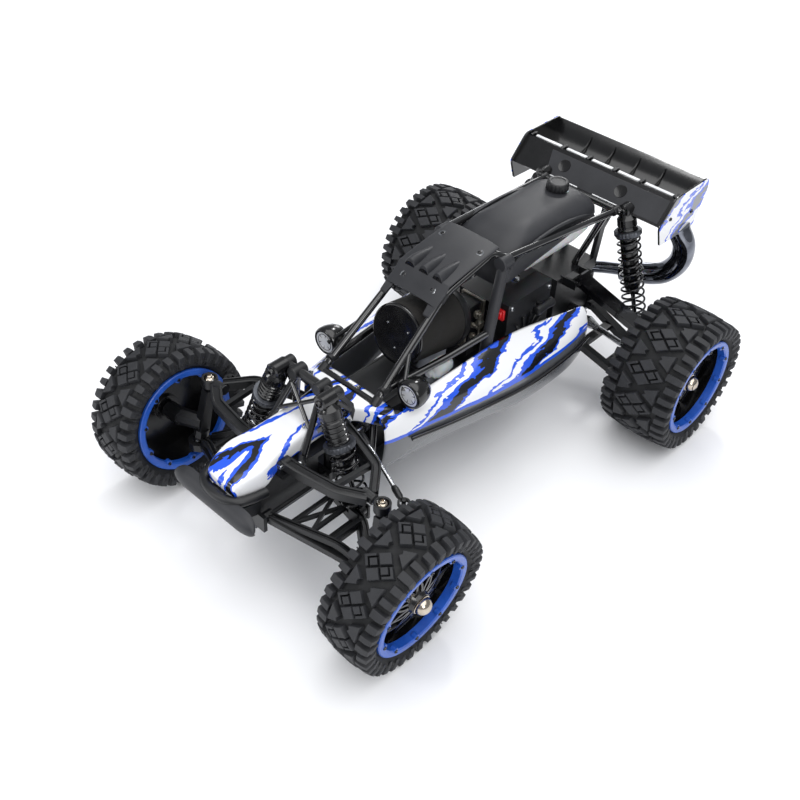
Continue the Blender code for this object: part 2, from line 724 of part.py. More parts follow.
def steering_link():
    """The bar across both cranks, with a pin at each end that carries a tie rod."""
    start = point(LINK_X, LINK_HALF_LENGTH + 5, LINK_Z)
    solids = [beam(start, on_side(start, RIGHT), 8, 6)]
    for side in (LEFT, RIGHT):
        end = point(LINK_X, LINK_HALF_LENGTH * side, LINK_Z)
        knuckle = point(LINK_X, CRANK_Y * side, LINK_Z)
        drop = LINK_Z - CRANK_ARM_Z + CRANK_ARM_HEIGHT / 2
        solids.append(rod(end, end + point(LINK_PIN_OUT + 4.3, 0, 0), HINGE_PIN_RADIUS))
        solids.append(rod(knuckle - point(0, 0, drop), knuckle, LINK_PIN_RADIUS))
    return node("steering_link", fuse(solids), PLASTIC, point(LINK_X, CRANK_Y, LINK_Z))


# ================================================================ rear suspension
def rear_lower_arm(side):
    """The wide rear lower arm with its long outer pin and the shock's lugs."""
    fore, aft = REAR_AXLE_X + REAR_LOWER_FORE, REAR_AXLE_X - REAR_LOWER_FORE
    inner_fore = point(fore - 6, REAR_LOWER_PIVOT_Y * side, REAR_LOWER_PIVOT_Z)
    inner_aft = point(aft + 6, REAR_LOWER_PIVOT_Y * side, REAR_LOWER_PIVOT_Z)
    outer = on_side(REAR_LOWER_OUT, side)
    half = REAR_LOWER_OUT_HALF
    slope = (outer.z - REAR_LOWER_PIVOT_Z) / (abs(outer.y) - REAR_LOWER_PIVOT_Y)

    def on_arm(x, y, above=0.0):
        return point(x, y * side, REAR_LOWER_PIVOT_Z + slope * (y - REAR_LOWER_PIVOT_Y) + above)

    foot = on_side(REAR_SHOCK_FOOT, side)
    shock_x, lug_y = foot.x, abs(foot.y)
    tip_y = abs(outer.y)
    solids = [
        beam(inner_fore + point(0, 3 * side, -1), on_arm(outer.x + half + 4.5, tip_y - 1), 9, 10),
        beam(inner_aft + point(0, 3 * side, -1), on_arm(shock_x + 2, lug_y), 10, 10, 14, 10),
        beam(on_arm(shock_x, lug_y - 4), on_arm(outer.x - half - 4.5, tip_y - 1), 14, 9, 9, 9),
        beam(on_arm(fore - 16, 78), on_arm(shock_x, 78), 12, 6, flat=(0, 1, 0)),
        beam(on_arm(fore - 20, 118), on_arm(shock_x, 118), 11, 6, flat=(0, 1, 0)),
        rod(outer - point(half + 8, 0, 0), outer + point(half + 8, 0, 0), HINGE_PIN_RADIUS + 0.5),
        eye(inner_fore, 6),
        eye(inner_aft, 6),
        beam(on_arm(shock_x - 8.5, lug_y, -1), foot + point(-8.5, 0, 5), 3, 14),
        beam(on_arm(shock_x + 8.5, lug_y, -1), foot + point(8.5, 0, 5), 3, 14),
        rod(foot - point(9, 0, 0), foot + point(9, 0, 0), SHOCK_PIN_RADIUS),
    ]
    cuts = [pin_hole(inner_fore, 9), pin_hole(inner_aft, 9)]
    return node(f"rear_lower_arm_{SIDE_NAMES[side]}", fuse(solids, cuts), PLASTIC, inner_fore)


def rear_upright(side, wheel):
    """The rear wheel's carrier, which swings on the lower arm's outer pin."""
    outer = on_side(REAR_LOWER_OUT, side)
    upper = on_side(REAR_UPPER_OUT, side)
    half = REAR_LOWER_OUT_HALF - GAP
    pin_bore = HINGE_PIN_RADIUS + 0.5 + GAP
    mouth = point(REAR_AXLE_X, (DRIVE_OUTER_Y - 12) * side, TYRE_RADIUS)
    floor = point(REAR_AXLE_X, (DRIVE_OUTER_Y + 11) * side, TYRE_RADIUS)
    knee = point(REAR_AXLE_X, outer.y, upper.z - 10)
    solids = [
        pipe(outer - point(half, 0, 0), outer + point(half, 0, 0), pin_bore + 4, pin_bore),
        beam(outer + point(0, 0, 5), knee, 26, 12),
        beam(knee - point(0, 0, 1), upper + point(0, 0, 3), 12, 8),
        rod(upper - point(11, 0, 0), upper + point(11, 0, 0), HINGE_PIN_RADIUS),
        rod(mouth, wheel.along(-12), 16, 15, sides=10),
        *stub_axle(wheel, -16),
    ]
    cuts = [
        rod(outer - point(half + 3, 0, 0), outer + point(half + 3, 0, 0), pin_bore),
        rod(mouth - point(0, side, 0), floor, 12, sides=10),
    ]
    return node(f"rear_upright_{SIDE_NAMES[side]}", fuse(solids, cuts), PLASTIC, outer)


def rear_upper_link(side):
    """The upper link, with a loose fork round the upright's pin."""
    inner = on_side(REAR_UPPER_IN, side)
    outer = on_side(REAR_UPPER_OUT, side)
    wide = HINGE_PIN_RADIUS + OPEN_GAP
    away = (inner - outer).normalized()
    solids = [
        eye(inner, REAR_UPPER_HALF - 4),
        beam(inner + point(0, 3 * side, -1), outer + away * 24, 24, 9, 22, 9),
    ]
    for way in (1, -1):
        tine = outer + point(8.5 * way, 0, 0)
        thick = point(2.2, 0, 0)
        solids.append(beam(tine + away * 26, tine + away * (wide + 2), 4.5, 9))
        solids.append(pipe(tine - thick, tine + thick, wide + 3.5, wide))
    cuts = [pin_hole(inner, REAR_UPPER_HALF)]
    return node(f"rear_upper_link_{SIDE_NAMES[side]}", fuse(solids, cuts), PLASTIC, inner)


def drive_shaft(side):
    """The drive shaft between the gearbox's cup and the upright, with its rubber boots."""
    inner = point(REAR_AXLE_X, DRIVE_CUP_Y * side, DRIVE_Z)
    outer = point(REAR_AXLE_X, DRIVE_OUTER_Y * side, TYRE_RADIUS)
    along = outer - inner
    far = along.length
    half = [(0, -8), (6.5, -4.5), (8, 0), (6, 5.5), (8.5, 13), (DRIVE_SHAFT_RADIUS, 31)]
    profile = half + [(r, far - d) for r, d in reversed(half)]
    return node(f"drive_shaft_{SIDE_NAMES[side]}", turned(profile, inner, along, 8), BRIGHT, inner)


# ================================================================ chassis, body and power
def mirrored(outline):
    """A half outline in x and y on the left, closed by its mirror image."""
    return outline + [(x, -y) for x, y in reversed(outline)]


def chassis_plate():
    """The flat alloy plate that everything is bolted to."""
    half = mirrored(
        [(306, 24), (184, 24), (168, 44), (60, 62), (-70, 66), (-168, 62), (-196, 34), (-304, 34)]
    )
    return node("chassis_plate", plate(half, PLATE_BOTTOM_Z, PLATE_TOP_Z), ALLOY)


def front_bulkhead():
    """The front block with its upper deck, the hinge pins of all four front arms, and the crank posts."""
    fore, aft = FRONT_AXLE_X + FRONT_LOWER_FORE, FRONT_AXLE_X - FRONT_LOWER_FORE
    floor = PLATE_TOP_Z + GAP
    wide = FRONT_LOWER_PIVOT_Y + 6
    deck = FRONT_UPPER_PIVOT_Y + 6
    lug_top = FRONT_LOWER_PIVOT_Z + 8
    deck_back, deck_front = FRONT_UPPER_REAR_X - 4, FRONT_UPPER_FRONT_X + 9.3
    solids = [
        block((aft + 2, -BLOCK_HALF_WIDTH, floor), (fore - 4, BLOCK_HALF_WIDTH, TOP_DECK_Z + 3)),
        block((fore + GAP, -wide, floor), (fore + 5, wide, lug_top)),
        block((fore - 6, -BLOCK_HALF_WIDTH, floor), (fore + 5, BLOCK_HALF_WIDTH, lug_top)),
        block((aft - 5, -wide, floor), (aft - GAP, wide, lug_top)),
        block((aft - 5, -18, floor), (aft + 6, 18, lug_top)),
        block((deck_back, -deck, TOP_DECK_Z), (deck_front, deck, TOP_DECK_Z + 6)),
    ]
    for side in (LEFT, RIGHT):
        post = point(CRANK_X, CRANK_Y * side, floor)
        solids.append(rod(post, post + point(0, 0, TOP_DECK_Z + 2 - floor), CRANK_POST_RADIUS))
        low = point(aft - 3, FRONT_LOWER_PIVOT_Y * side, FRONT_LOWER_PIVOT_Z)
        solids.append(rod(low, low + point(fore - aft + 6, 0, 0), HINGE_PIN_RADIUS))
        for x in (FRONT_UPPER_FRONT_X, FRONT_UPPER_REAR_X):
            high = point(x, FRONT_UPPER_PIVOT_Y * side, FRONT_UPPER_PIVOT_Z)
            lug = (x + 5.3, LUG_INNER_Y * side, TOP_DECK_Z)
            solids.append(block(lug, (x + 9.3, LUG_OUTER_Y * side, FRONT_UPPER_PIVOT_Z + 5)))
            solids.append(rod(high - point(5.5, 0, 0), high + point(7, 0, 0), HINGE_PIN_RADIUS, sides=6))
    return node("front_bulkhead", fuse(solids), PLASTIC)


def front_bumper():
    """The bumper plate with round ends, and the stays that hold it to the front block."""
    lean = math.radians(BUMPER_LEAN)
    turn = Matrix.Translation((BUMPER_X, 0, BUMPER_Z)) @ Matrix.Rotation(math.pi / 2 - lean, 4, "Y")
    outline = rounded(BUMPER_HEIGHT, BUMPER_WIDTH, BUMPER_HEIGHT / 2 - 0.5)
    face = plate(outline, -BUMPER_THICKNESS / 2, BUMPER_THICKNESS / 2, turn)
    back = FRONT_AXLE_X + FRONT_LOWER_FORE + 5 + GAP
    loop_z = 128.0
    half_loop = [(back + 6, 38, loop_z), (back + 20, 30, loop_z + 4), (back + 32, 12, loop_z + 9)]
    loop = half_loop + [(x, -y, z) for x, y, z in reversed(half_loop)]
    solids = [face, bent_tube(loop, 6.0)]
    foot = FRONT_LOWER_PIVOT_Z
    for side in (LEFT, RIGHT):
        y = 15.0 * side
        solids.append(block((back, y - 5, foot - 12), (back + 5, y + 21 * side, foot + 8)))
        solids.append(beam((back + 3, y, foot - 2), (BUMPER_X - 1, y, BUMPER_Z - 6), 8, 10, flat=(0, 1, 0)))
        solids.append(rod((back + 4, 2 * y, foot + 4), (back + 9, 2.1 * y, loop_z + 2), 4))
    return node("front_bumper", fuse(solids), PLASTIC)


def front_shock_tower():
    """The braced tower that carries the tops of both front shocks."""
    top = point(*FRONT_SHOCK_TOP)
    deck = TOP_DECK_Z + 6 + GAP
    back = top.x - 6 - GAP - 5
    solids = [rod((back, -top.y - 6, top.z), (back, top.y + 6, top.z), 5.0)]
    for side in (LEFT, RIGHT):
        y = top.y * side
        head = point(back, y, top.z)
        solids += [
            rod((back - 5, y, top.z), (top.x + 7, y, top.z), SHOCK_PIN_RADIUS),
            rod(head + point(-5, 0, 0), head + point(5, 0, 0), 7.0),
            rod((back, 19 * side, top.z), (243, 32 * side, deck + 3), 4.0, sides=6),
            rod((243, 32 * side, deck + 4.5), (243, 32 * side, deck), 4.0, sides=6),
            rod((back, 19 * side, top.z), (195, 31 * side, deck + 3), 4.0, sides=6),
            rod((195, 31 * side, deck + 4), (195, 31 * side, deck), 4.0, sides=6),
        ]
    return node("front_shock_tower", fuse(solids), PLASTIC)


def skin(stations, thickness):
    """A shell skinned over (x, half section) stations, where each section is a list of (y, z)."""
    loops = []
    for x, section in stations:
        outer = [point(x, y, z) for y, z in section]
        inner = []
        for k, place in enumerate(outer):
            before = outer[max(k - 1, 0)]
            after = outer[min(k + 1, len(outer) - 1)]
            run = (after - before).normalized()
            inward = Vector((0, -run.z, run.y))
            inner.append(place + inward * thickness)
        loops.append(outer + inner[::-1])
    return loft(loops)


def body_shell():
    """The thin painted body: a narrow bonnet over the front block, and the two side pods."""
    bonnet = []
    for x, half, top, skirt in (
        (330, 13, 166, 152),
        (312, 27, 172, 148),
        (290, 31, 177, 148),
        (277.5, BLOCK_HALF_WIDTH, 178, 160),
        (226, BLOCK_HALF_WIDTH, 180, 160),
        (167, BLOCK_HALF_WIDTH, 181, 162),
        (156, 48, 182, 165),
        (134, 62, 181, 164),
    ):
        section = [(half, skirt), (half * 0.94, top - 5), (half * 0.6, top)]
        bonnet.append((x, section + [(-y, z) for y, z in reversed(section)]))
    hood = skin(bonnet, BODY_WALL)
    notch = block((60, -BAY_HALF, 120), (151, BAY_HALF, 220))
    pods = []
    pod_sections = {
        150: ((49, 176), (62, 169), (66, 138), (60, BELLY_Z)),
        117: ((52, 172), (70, 166), (75, 134), (66, BELLY_Z)),
        60: ((58, 176), (82, 166), (86, 130), (74, BELLY_Z)),
        0: ((64, 184), (92, 164), (96, 128), (86, BELLY_Z)),
        -67: ((68, 186), (99, 154), (104, 126), (100, BELLY_Z)),
        -150: ((78, 176), (99, 152), (103, 126), (101, BELLY_Z)),
        -198: ((84, 170), (95, 150), (96, 126), (92, BELLY_Z)),
    }
    for side in (LEFT, RIGHT):
        stations = [(x, [(y * side, z) for y, z in section]) for x, section in pod_sections.items()]
        pods.append(skin(stations, -BODY_WALL * side))
    return node("body_shell", fuse([hood, *pods], [notch]), LEXAN)


def roll_cage():
    """The black tube cage over the cockpit, the tank and the rear shocks."""
    r = CAGE_TUBE
    floor = PLATE_TOP_Z + GAP
    shock_top = point(*REAR_SHOCK_TOP)
    tower = point(shock_top.x + 6 + GAP + 5, 58, shock_top.z)
    windscreen_foot, windscreen_top = point(143, 42, 181), point(27, 34, 268)
    roof_back, pillar_head = point(-56, 35, 288), point(-66, 46, 281)
    pillar_waist, pillar_foot = point(-34, 58, 200), point(-30, 53, floor)
    rail = [point(143, 40, floor), windscreen_foot, windscreen_top, roof_back, pillar_head, tower]
    pillar = [pillar_head, pillar_waist, pillar_foot + point(0, 0, 12), pillar_foot]
    waist_bar = [point(130, 41, 191), point(40, 50, 191), pillar_waist - point(0, 0, 3)]
    solids = []
    for side in (LEFT, RIGHT):
        solids.append(bent_tube([on_side(p, side) for p in rail], r))
        solids.append(bent_tube([on_side(p, side) for p in pillar], r + 2.5))
        solids.append(bent_tube([on_side(p, side) for p in waist_bar], r))
        strut_top = point(tower.x, 48 * side, tower.z)
        strut_foot = point(-264, 20 * side, REAR_BLOCK_TOP + GAP)
        pin = point(tower.x, shock_top.y * side, shock_top.z)
        solids += [
            rod(strut_top, strut_foot + point(0, 0, 3), r, sides=6),
            rod(strut_foot + point(0, 0, 5), strut_foot, r, sides=6),
            rod(pin - point(5, 0, 0), pin + point(5, 0, 0), 7.0),
            rod(pin, point(shock_top.x - 9, pin.y, pin.z), SHOCK_PIN_RADIUS),
        ]
    for end in (windscreen_foot, windscreen_top, roof_back, point(tower.x, shock_top.y, tower.z)):
        solids.append(rod(on_side(end, RIGHT), end, r))
    return node("roll_cage", fuse(solids), PLASTIC)


def roof_panel():
    """The flat roof, folded down at its front edge."""
    line = [(46, 260.7), (28, 273.4), (-62, 294.2)]
    loops = []
    for y in (-39, 39):
        low = [point(x, y, z) for x, z in line]
        high = [point(x, y, z + ROOF_THICKNESS) for x, z in reversed(line)]
        loops.append(low + high)
    return node("roof_panel", loft(loops), PLASTIC)


def lamps():
    """A round driving lamp on each side, held to the windscreen tube."""
    for side in (LEFT, RIGHT):
        face = point(LAMP_X, LAMP_Y * side, LAMP_Z)
        rim_edge = LAMP_RADIUS
        profile = [
            (0, 0), (rim_edge - 3, 0), (rim_edge - 3, 1), (rim_edge, 1.5),
            (rim_edge, -14), (rim_edge - 4, -25), (6, -30), (0, -30),
        ]
        pod = turned(profile, face, (1, 0, 0), 10)
        bar_side = (BAR_Y + CAGE_TUBE + GAP) * side
        arm = beam(face - point(14, 10 * side, 2), (LAMP_X - 16, bar_side, LAMP_Z - 3), 8, 5)
        node(f"lamp_{SIDE_NAMES[side]}", fuse([pod, arm]), PLASTIC, face)


def air_filter():
    """The big foam drum of the air filter, with its end cap and the neck to the carburettor."""
    edge = FILTER_LENGTH - 11
    profile = [
        (0, 0), (26, 0), (28, 3), (FILTER_RADIUS - 3, 3), (FILTER_RADIUS, 7),
        (FILTER_RADIUS, edge - 9), (FILTER_RADIUS - 4, edge - 3), (20, edge),
        (20, FILTER_LENGTH), (0, FILTER_LENGTH),
    ]
    return node("air_filter", turned(profile, FILTER_FRONT, FILTER_AXIS, 12), FOAM)


def radio_box():
    """The flat box for the receiver and its battery, under a screwed lid."""
    low = PLATE_TOP_Z + GAP
    lid = plate(rounded(96, 64, 5), 0, 5, Matrix.Translation((88, 0, 152)))
    box = block((44, -29, low), (132, 29, 153))
    return node("radio_box", fuse([box, lid]), PLASTIC)


def engine():
    """The petrol engine: crankcase, finned cylinder, carburettor side, and the starter's housing."""
    low = PLATE_TOP_Z + GAP
    intake = FILTER_FRONT + FILTER_AXIS * (FILTER_LENGTH + GAP)
    solids = [
        block((-150, -34, low), (-72, 30, 150)),
        block((-138, -30, 148), (-84, 22, CYLINDER_TOP)),
        block((-74, -16, 128), (-50, 16, 176)),
        rod(intake, intake + FILTER_AXIS * 16, 12),
        block((-74, -14, 150), (-46, 14, 200)),
        rod((-112, 24, 150), (-112, 56, 150), 46, 40, sides=20),
        block((-158, 30, 130), (HOUSING_FRONT_X, HOUSING_SIDE_Y, 214)),
    ]
    for k in range(3):
        z = 156 + 14 * k
        solids.append(block((-144, -36, z), (-78, 28, z + 3)))
    half = SWITCH_SIZE / 2 + 0.5
    face = point(HOUSING_FRONT_X, SWITCH_Y, SWITCH_Z)
    pocket = block(face - point(SWITCH_DEPTH, half, half), face + point(2, half, half))
    return node("engine", fuse(solids, [pocket]), PLASTIC)


def starter_handle():
    """The pull starter's grip, which draws straight out of its bracket."""
    seat = point(-130, HOUSING_SIDE_Y + GAP, 193)
    stem = rod(seat, seat + point(0, 10, 0), 4.5)
    grip = beam(seat + point(-17, 12, 0), seat + point(17, 12, 0), 9, 9, flat=(0, 0, 1))
    return node("starter_handle", fuse([stem, grip]), PLASTIC, seat)


def kill_switch():
    """The red stop button on the corner of the starter's housing."""
    face = point(HOUSING_FRONT_X - SWITCH_DEPTH + SWITCH_TRAVEL + 0.2, SWITCH_Y, SWITCH_Z)
    lift = Matrix.Translation(face) @ Matrix.Rotation(math.pi / 2, 4, "Y")
    button = plate(rounded(SWITCH_SIZE, SWITCH_SIZE, 3), 0, 6.5, lift)
    return node("kill_switch", button, RED, face)


def fuel_tank():
    """The fuel tank that hangs between the rear cage rails, and its filler neck."""
    loops = []
    for z, x_rear, x_front, half, corner in (
        (222, -246, -86, 30, 12),
        (244, -256, -72, 42, 14),
        (266, -260, -66, 45, 15),
        (282, -256, -72, 41, 15),
        (291, -244, -92, 30, 14),
    ):
        centre = point((x_rear + x_front) / 2, 0, z)
        outline = rounded(x_front - x_rear, 2 * half, corner, 2)
        loops.append([centre + point(x, y, 0) for x, y in outline])
    neck = rod((CAP_X, 0, 286), (CAP_X, 0, 295), 9.5, sides=10)
    front_foot = block((-100, -8, CYLINDER_TOP + GAP), (-88, 8, 226))
    rear_foot = block((-236, -14, REAR_BLOCK_TOP + GAP), (-214, 14, 226))
    return node("fuel_tank", fuse([loft(loops), neck, front_foot, rear_foot]), TANK)


def fuel_cap():
    """The ribbed filler cap, which lifts off."""
    inside, ceiling = 10 + GAP, 3 + GAP
    profile = [(0, ceiling), (inside, ceiling), (inside, 0), (15, 0), (15, 9), (12, 12), (0, 12)]
    seat = point(CAP_X, 0, 292)
    return node("fuel_cap", turned(profile, seat, (0, 0, 1), 10), PLASTIC, seat)


def rear_bulkhead():
    """The gearbox block with its drive cups and the rear arms' hinge pins."""
    fore, aft = REAR_AXLE_X + REAR_LOWER_FORE, REAR_AXLE_X - REAR_LOWER_FORE
    floor = PLATE_TOP_Z + GAP
    wide = REAR_LOWER_PIVOT_Y + 6
    lug_top = REAR_LOWER_PIVOT_Z + 8
    cheek = REAR_UPPER_HALF - 4 + GAP
    solids = [
        block((aft + 2, -30, floor), (fore - 2, 30, REAR_BLOCK_TOP)),
        block((aft - 5, -wide, floor), (aft - GAP, wide, lug_top)),
        block((aft - 5, -28, floor), (aft + 6, 28, lug_top)),
        block((fore + GAP, -wide, floor), (fore + 5, wide, lug_top)),
        block((fore - 6, -28, floor), (fore + 5, 28, lug_top)),
    ]
    for side in (LEFT, RIGHT):
        for x, way in ((fore, -1), (aft, 1)):
            low = point(x, REAR_LOWER_PIVOT_Y * side, REAR_LOWER_PIVOT_Z)
            pin_end = low + point(13 * way, 0, 0)
            solids.append(rod(low - point(3 * way, 0, 0), pin_end, HINGE_PIN_RADIUS, sides=6))
        high = on_side(REAR_UPPER_IN, side)
        for way in (1, -1):
            x = high.x + way * cheek
            solids.append(block((x, 26 * side, high.z - 7), (x + 4 * way, high.y + 5 * side, high.z + 5)))
        reach = point(cheek + 3, 0, 0)
        solids.append(rod(high - reach, high + reach, HINGE_PIN_RADIUS, sides=6))
        cup = point(REAR_AXLE_X, 28 * side, DRIVE_Z)
        solids.append(pipe(cup, cup + point(0, (DRIVE_CUP_Y - 26) * side, 0), 11.5, 8.7, 10))
    return node("rear_bulkhead", fuse(solids), PLASTIC)


def rear_wing():
    """The rear wing: its main plane, the upright flap, two end plates and the stays."""
    half = WING_HALF_WIDTH
    back = REAR_AXLE_X - REAR_LOWER_FORE + 2 - GAP
    end_plate = [(-295, 233), (-284, 262), (-313, 294), (-390, 295), (-393, 280), (-374, 231)]

    def across(outline, start, end):
        near = [point(x, start, z) for x, z in outline]
        return loft([near, [p + point(0, end - start, 0) for p in near]])

    def plane(line, thickness):
        outline = line + [(x, z + thickness) for x, z in reversed(line)]
        return across(outline, 1 - half, half - 1)

    solids = [
        plane([(-310, 264), (-330, 258), (-352, 252)], 4),
        plane([(-350, 251), (-372, 264), (-388, 287)], 5),
    ]
    for side in (LEFT, RIGHT):
        solids.append(across(end_plate, (half - 3) * side, half * side))
        solids.append(rod((-330, 28 * side, 260), (back - 5, 24 * side, 150), 4.0, sides=6))
        solids.append(block((back - 7, 18 * side, 140), (back, 30 * side, 158)))
    return node("rear_wing", fuse(solids), PLASTIC)


def exhaust_pipe():
    """The exhaust: its pipe behind the gearbox and the silencer by the left rear wheel."""
    back = REAR_AXLE_X - REAR_LOWER_FORE + 2 - GAP
    path = [(back, -10, 130), (back - 10, -10, 130), (back - 24, -4, 132), (-345, 24, 140), (-372, 84, 156)]
    profile = [(0, 0), (8, 0), (15, 8), (16, 14), (16, 44), (13, 50), (6, 52), (6, 62), (0, 62)]
    silencer = turned(profile, (-366, 70, 153), (-12, 62, 14), 10)
    return node("exhaust_pipe", fuse([bent_tube(path, 8.0), silencer]), CHROME)


# ================================================================ assembly
chassis_plate()
front_bulkhead()
front_bumper()
front_shock_tower()
body_shell()
roll_cage()
roof_panel()
lamps()
air_filter()
radio_box()
engine()
starter_handle()
kill_switch()
fuel_tank()
fuel_cap()
rear_bulkhead()
rear_wing()
exhaust_pipe()
steering_link()
for hand, hand_name in SIDE_NAMES.items():
    front_wheel, rear_wheel = Wheel("front", hand), Wheel("rear", hand)
    for each in (front_wheel, rear_wheel):
        tyre(each)
        rim(each)
    front_lower_arm(hand)
    front_upper_arm(hand)
    front_upright(hand, front_wheel)
    steering_crank(hand)
    tie_rod(hand)
    shock("front_" + hand_name, FRONT_SHOCK_TOP, FRONT_SHOCK_FOOT, FRONT_CURLS, hand)
    rear_lower_arm(hand)
    rear_upper_link(hand)
    rear_upright(hand, rear_wheel)
    drive_shaft(hand)
    shock("rear_" + hand_name, REAR_SHOCK_TOP, REAR_SHOCK_FOOT, REAR_CURLS, hand)

# The car's frame has its origin on the floor under the middle of the whole car.
bpy.context.view_layer.update()
graph = bpy.context.evaluated_depsgraph_get()
corners = []
for thing in CAR.children:
    mesh_now = thing.evaluated_get(graph).to_mesh()
    corners += [thing.matrix_world @ v.co for v in mesh_now.vertices]
low = [min(c[k] for c in corners) for k in range(3)]
high = [max(c[k] for c in corners) for k in range(3)]
print("box", [round((b - a) / MM, 1) for a, b in zip(low, high)])
CAR.location = (-(low[0] + high[0]) / 2, -(low[1] + high[1]) / 2, -low[2])
print("moved by", [round(v / MM, 2) for v in CAR.location])
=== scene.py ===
"""Visual model of a large-scale petrol off-road buggy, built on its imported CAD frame."""

from __future__ import annotations

import logging
import math
from collections.abc import Sequence
from dataclasses import dataclass, field
from enum import Enum
from functools import lru_cache
from typing import Protocol

import bpy
from mathutils import Matrix, Vector
from mathutils.geometry import delaunay_2d_cdt

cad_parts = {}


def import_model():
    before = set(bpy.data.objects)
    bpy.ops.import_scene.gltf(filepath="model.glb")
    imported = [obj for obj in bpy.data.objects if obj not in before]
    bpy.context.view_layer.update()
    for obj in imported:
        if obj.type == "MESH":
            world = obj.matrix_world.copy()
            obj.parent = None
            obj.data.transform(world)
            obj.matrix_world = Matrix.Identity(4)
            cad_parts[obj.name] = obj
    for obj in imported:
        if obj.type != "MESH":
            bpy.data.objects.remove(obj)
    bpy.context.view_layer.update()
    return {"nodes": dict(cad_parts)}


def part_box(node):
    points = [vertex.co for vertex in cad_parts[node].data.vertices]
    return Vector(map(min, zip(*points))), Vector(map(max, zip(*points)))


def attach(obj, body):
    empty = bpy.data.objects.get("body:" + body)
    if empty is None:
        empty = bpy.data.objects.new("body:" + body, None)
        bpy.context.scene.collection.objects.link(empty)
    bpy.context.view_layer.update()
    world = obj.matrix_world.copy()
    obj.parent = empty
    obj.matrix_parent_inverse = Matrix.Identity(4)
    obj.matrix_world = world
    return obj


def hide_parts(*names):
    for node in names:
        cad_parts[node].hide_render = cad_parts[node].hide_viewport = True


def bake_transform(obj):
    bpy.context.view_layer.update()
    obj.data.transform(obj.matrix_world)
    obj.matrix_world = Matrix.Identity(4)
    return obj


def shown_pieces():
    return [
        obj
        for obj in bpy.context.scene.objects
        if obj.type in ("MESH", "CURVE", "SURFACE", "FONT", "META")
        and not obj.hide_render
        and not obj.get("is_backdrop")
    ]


LOG = logging.getLogger("buggy")
MM = 0.001
TURN = 2.0 * math.pi
AXLE_FRONT_MM, AXLE_REAR_MM = 255.0, -255.0
PLATE_LOW_MM = 88.0
BEVEL_FROM_DEG = 38.0
BEVEL_SEGMENTS = 2

Point = Sequence[float]


class Side(Enum):
    """Left and right of the car, as seen from its driver's place."""

    LEFT = 1
    RIGHT = -1

    @property
    def word(self) -> str:
        """The side's name, as used in node and body names."""
        return self.name.lower()


class Slot(Enum):
    """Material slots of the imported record."""

    NYLON = "black_nylon"
    RUBBER = "tyre_rubber"
    SPRING = "spring_steel"
    STEEL = "bright_steel"
    ALLOY = "alloy_plate"
    LEXAN = "painted_lexan"
    FOAM = "filter_foam"
    TANK = "white_tank"
    CHROME = "chrome_pipe"
    RED = "red_switch"


# --------------------------------------------------------------------------- colour and nodes


def linear(code: str) -> tuple[float, float, float, float]:
    """Turns an sRGB hex code into a linear colour.

    Args:
        code: six hex digits.

    Returns:
        The linear red, green, blue and an alpha of 1.
    """
    parts = [int(code[i : i + 2], 16) / 255 for i in (0, 2, 4)]
    red, green, blue = [c / 12.92 if c <= 0.04045 else ((c + 0.055) / 1.055) ** 2.4 for c in parts]
    return red, green, blue, 1.0


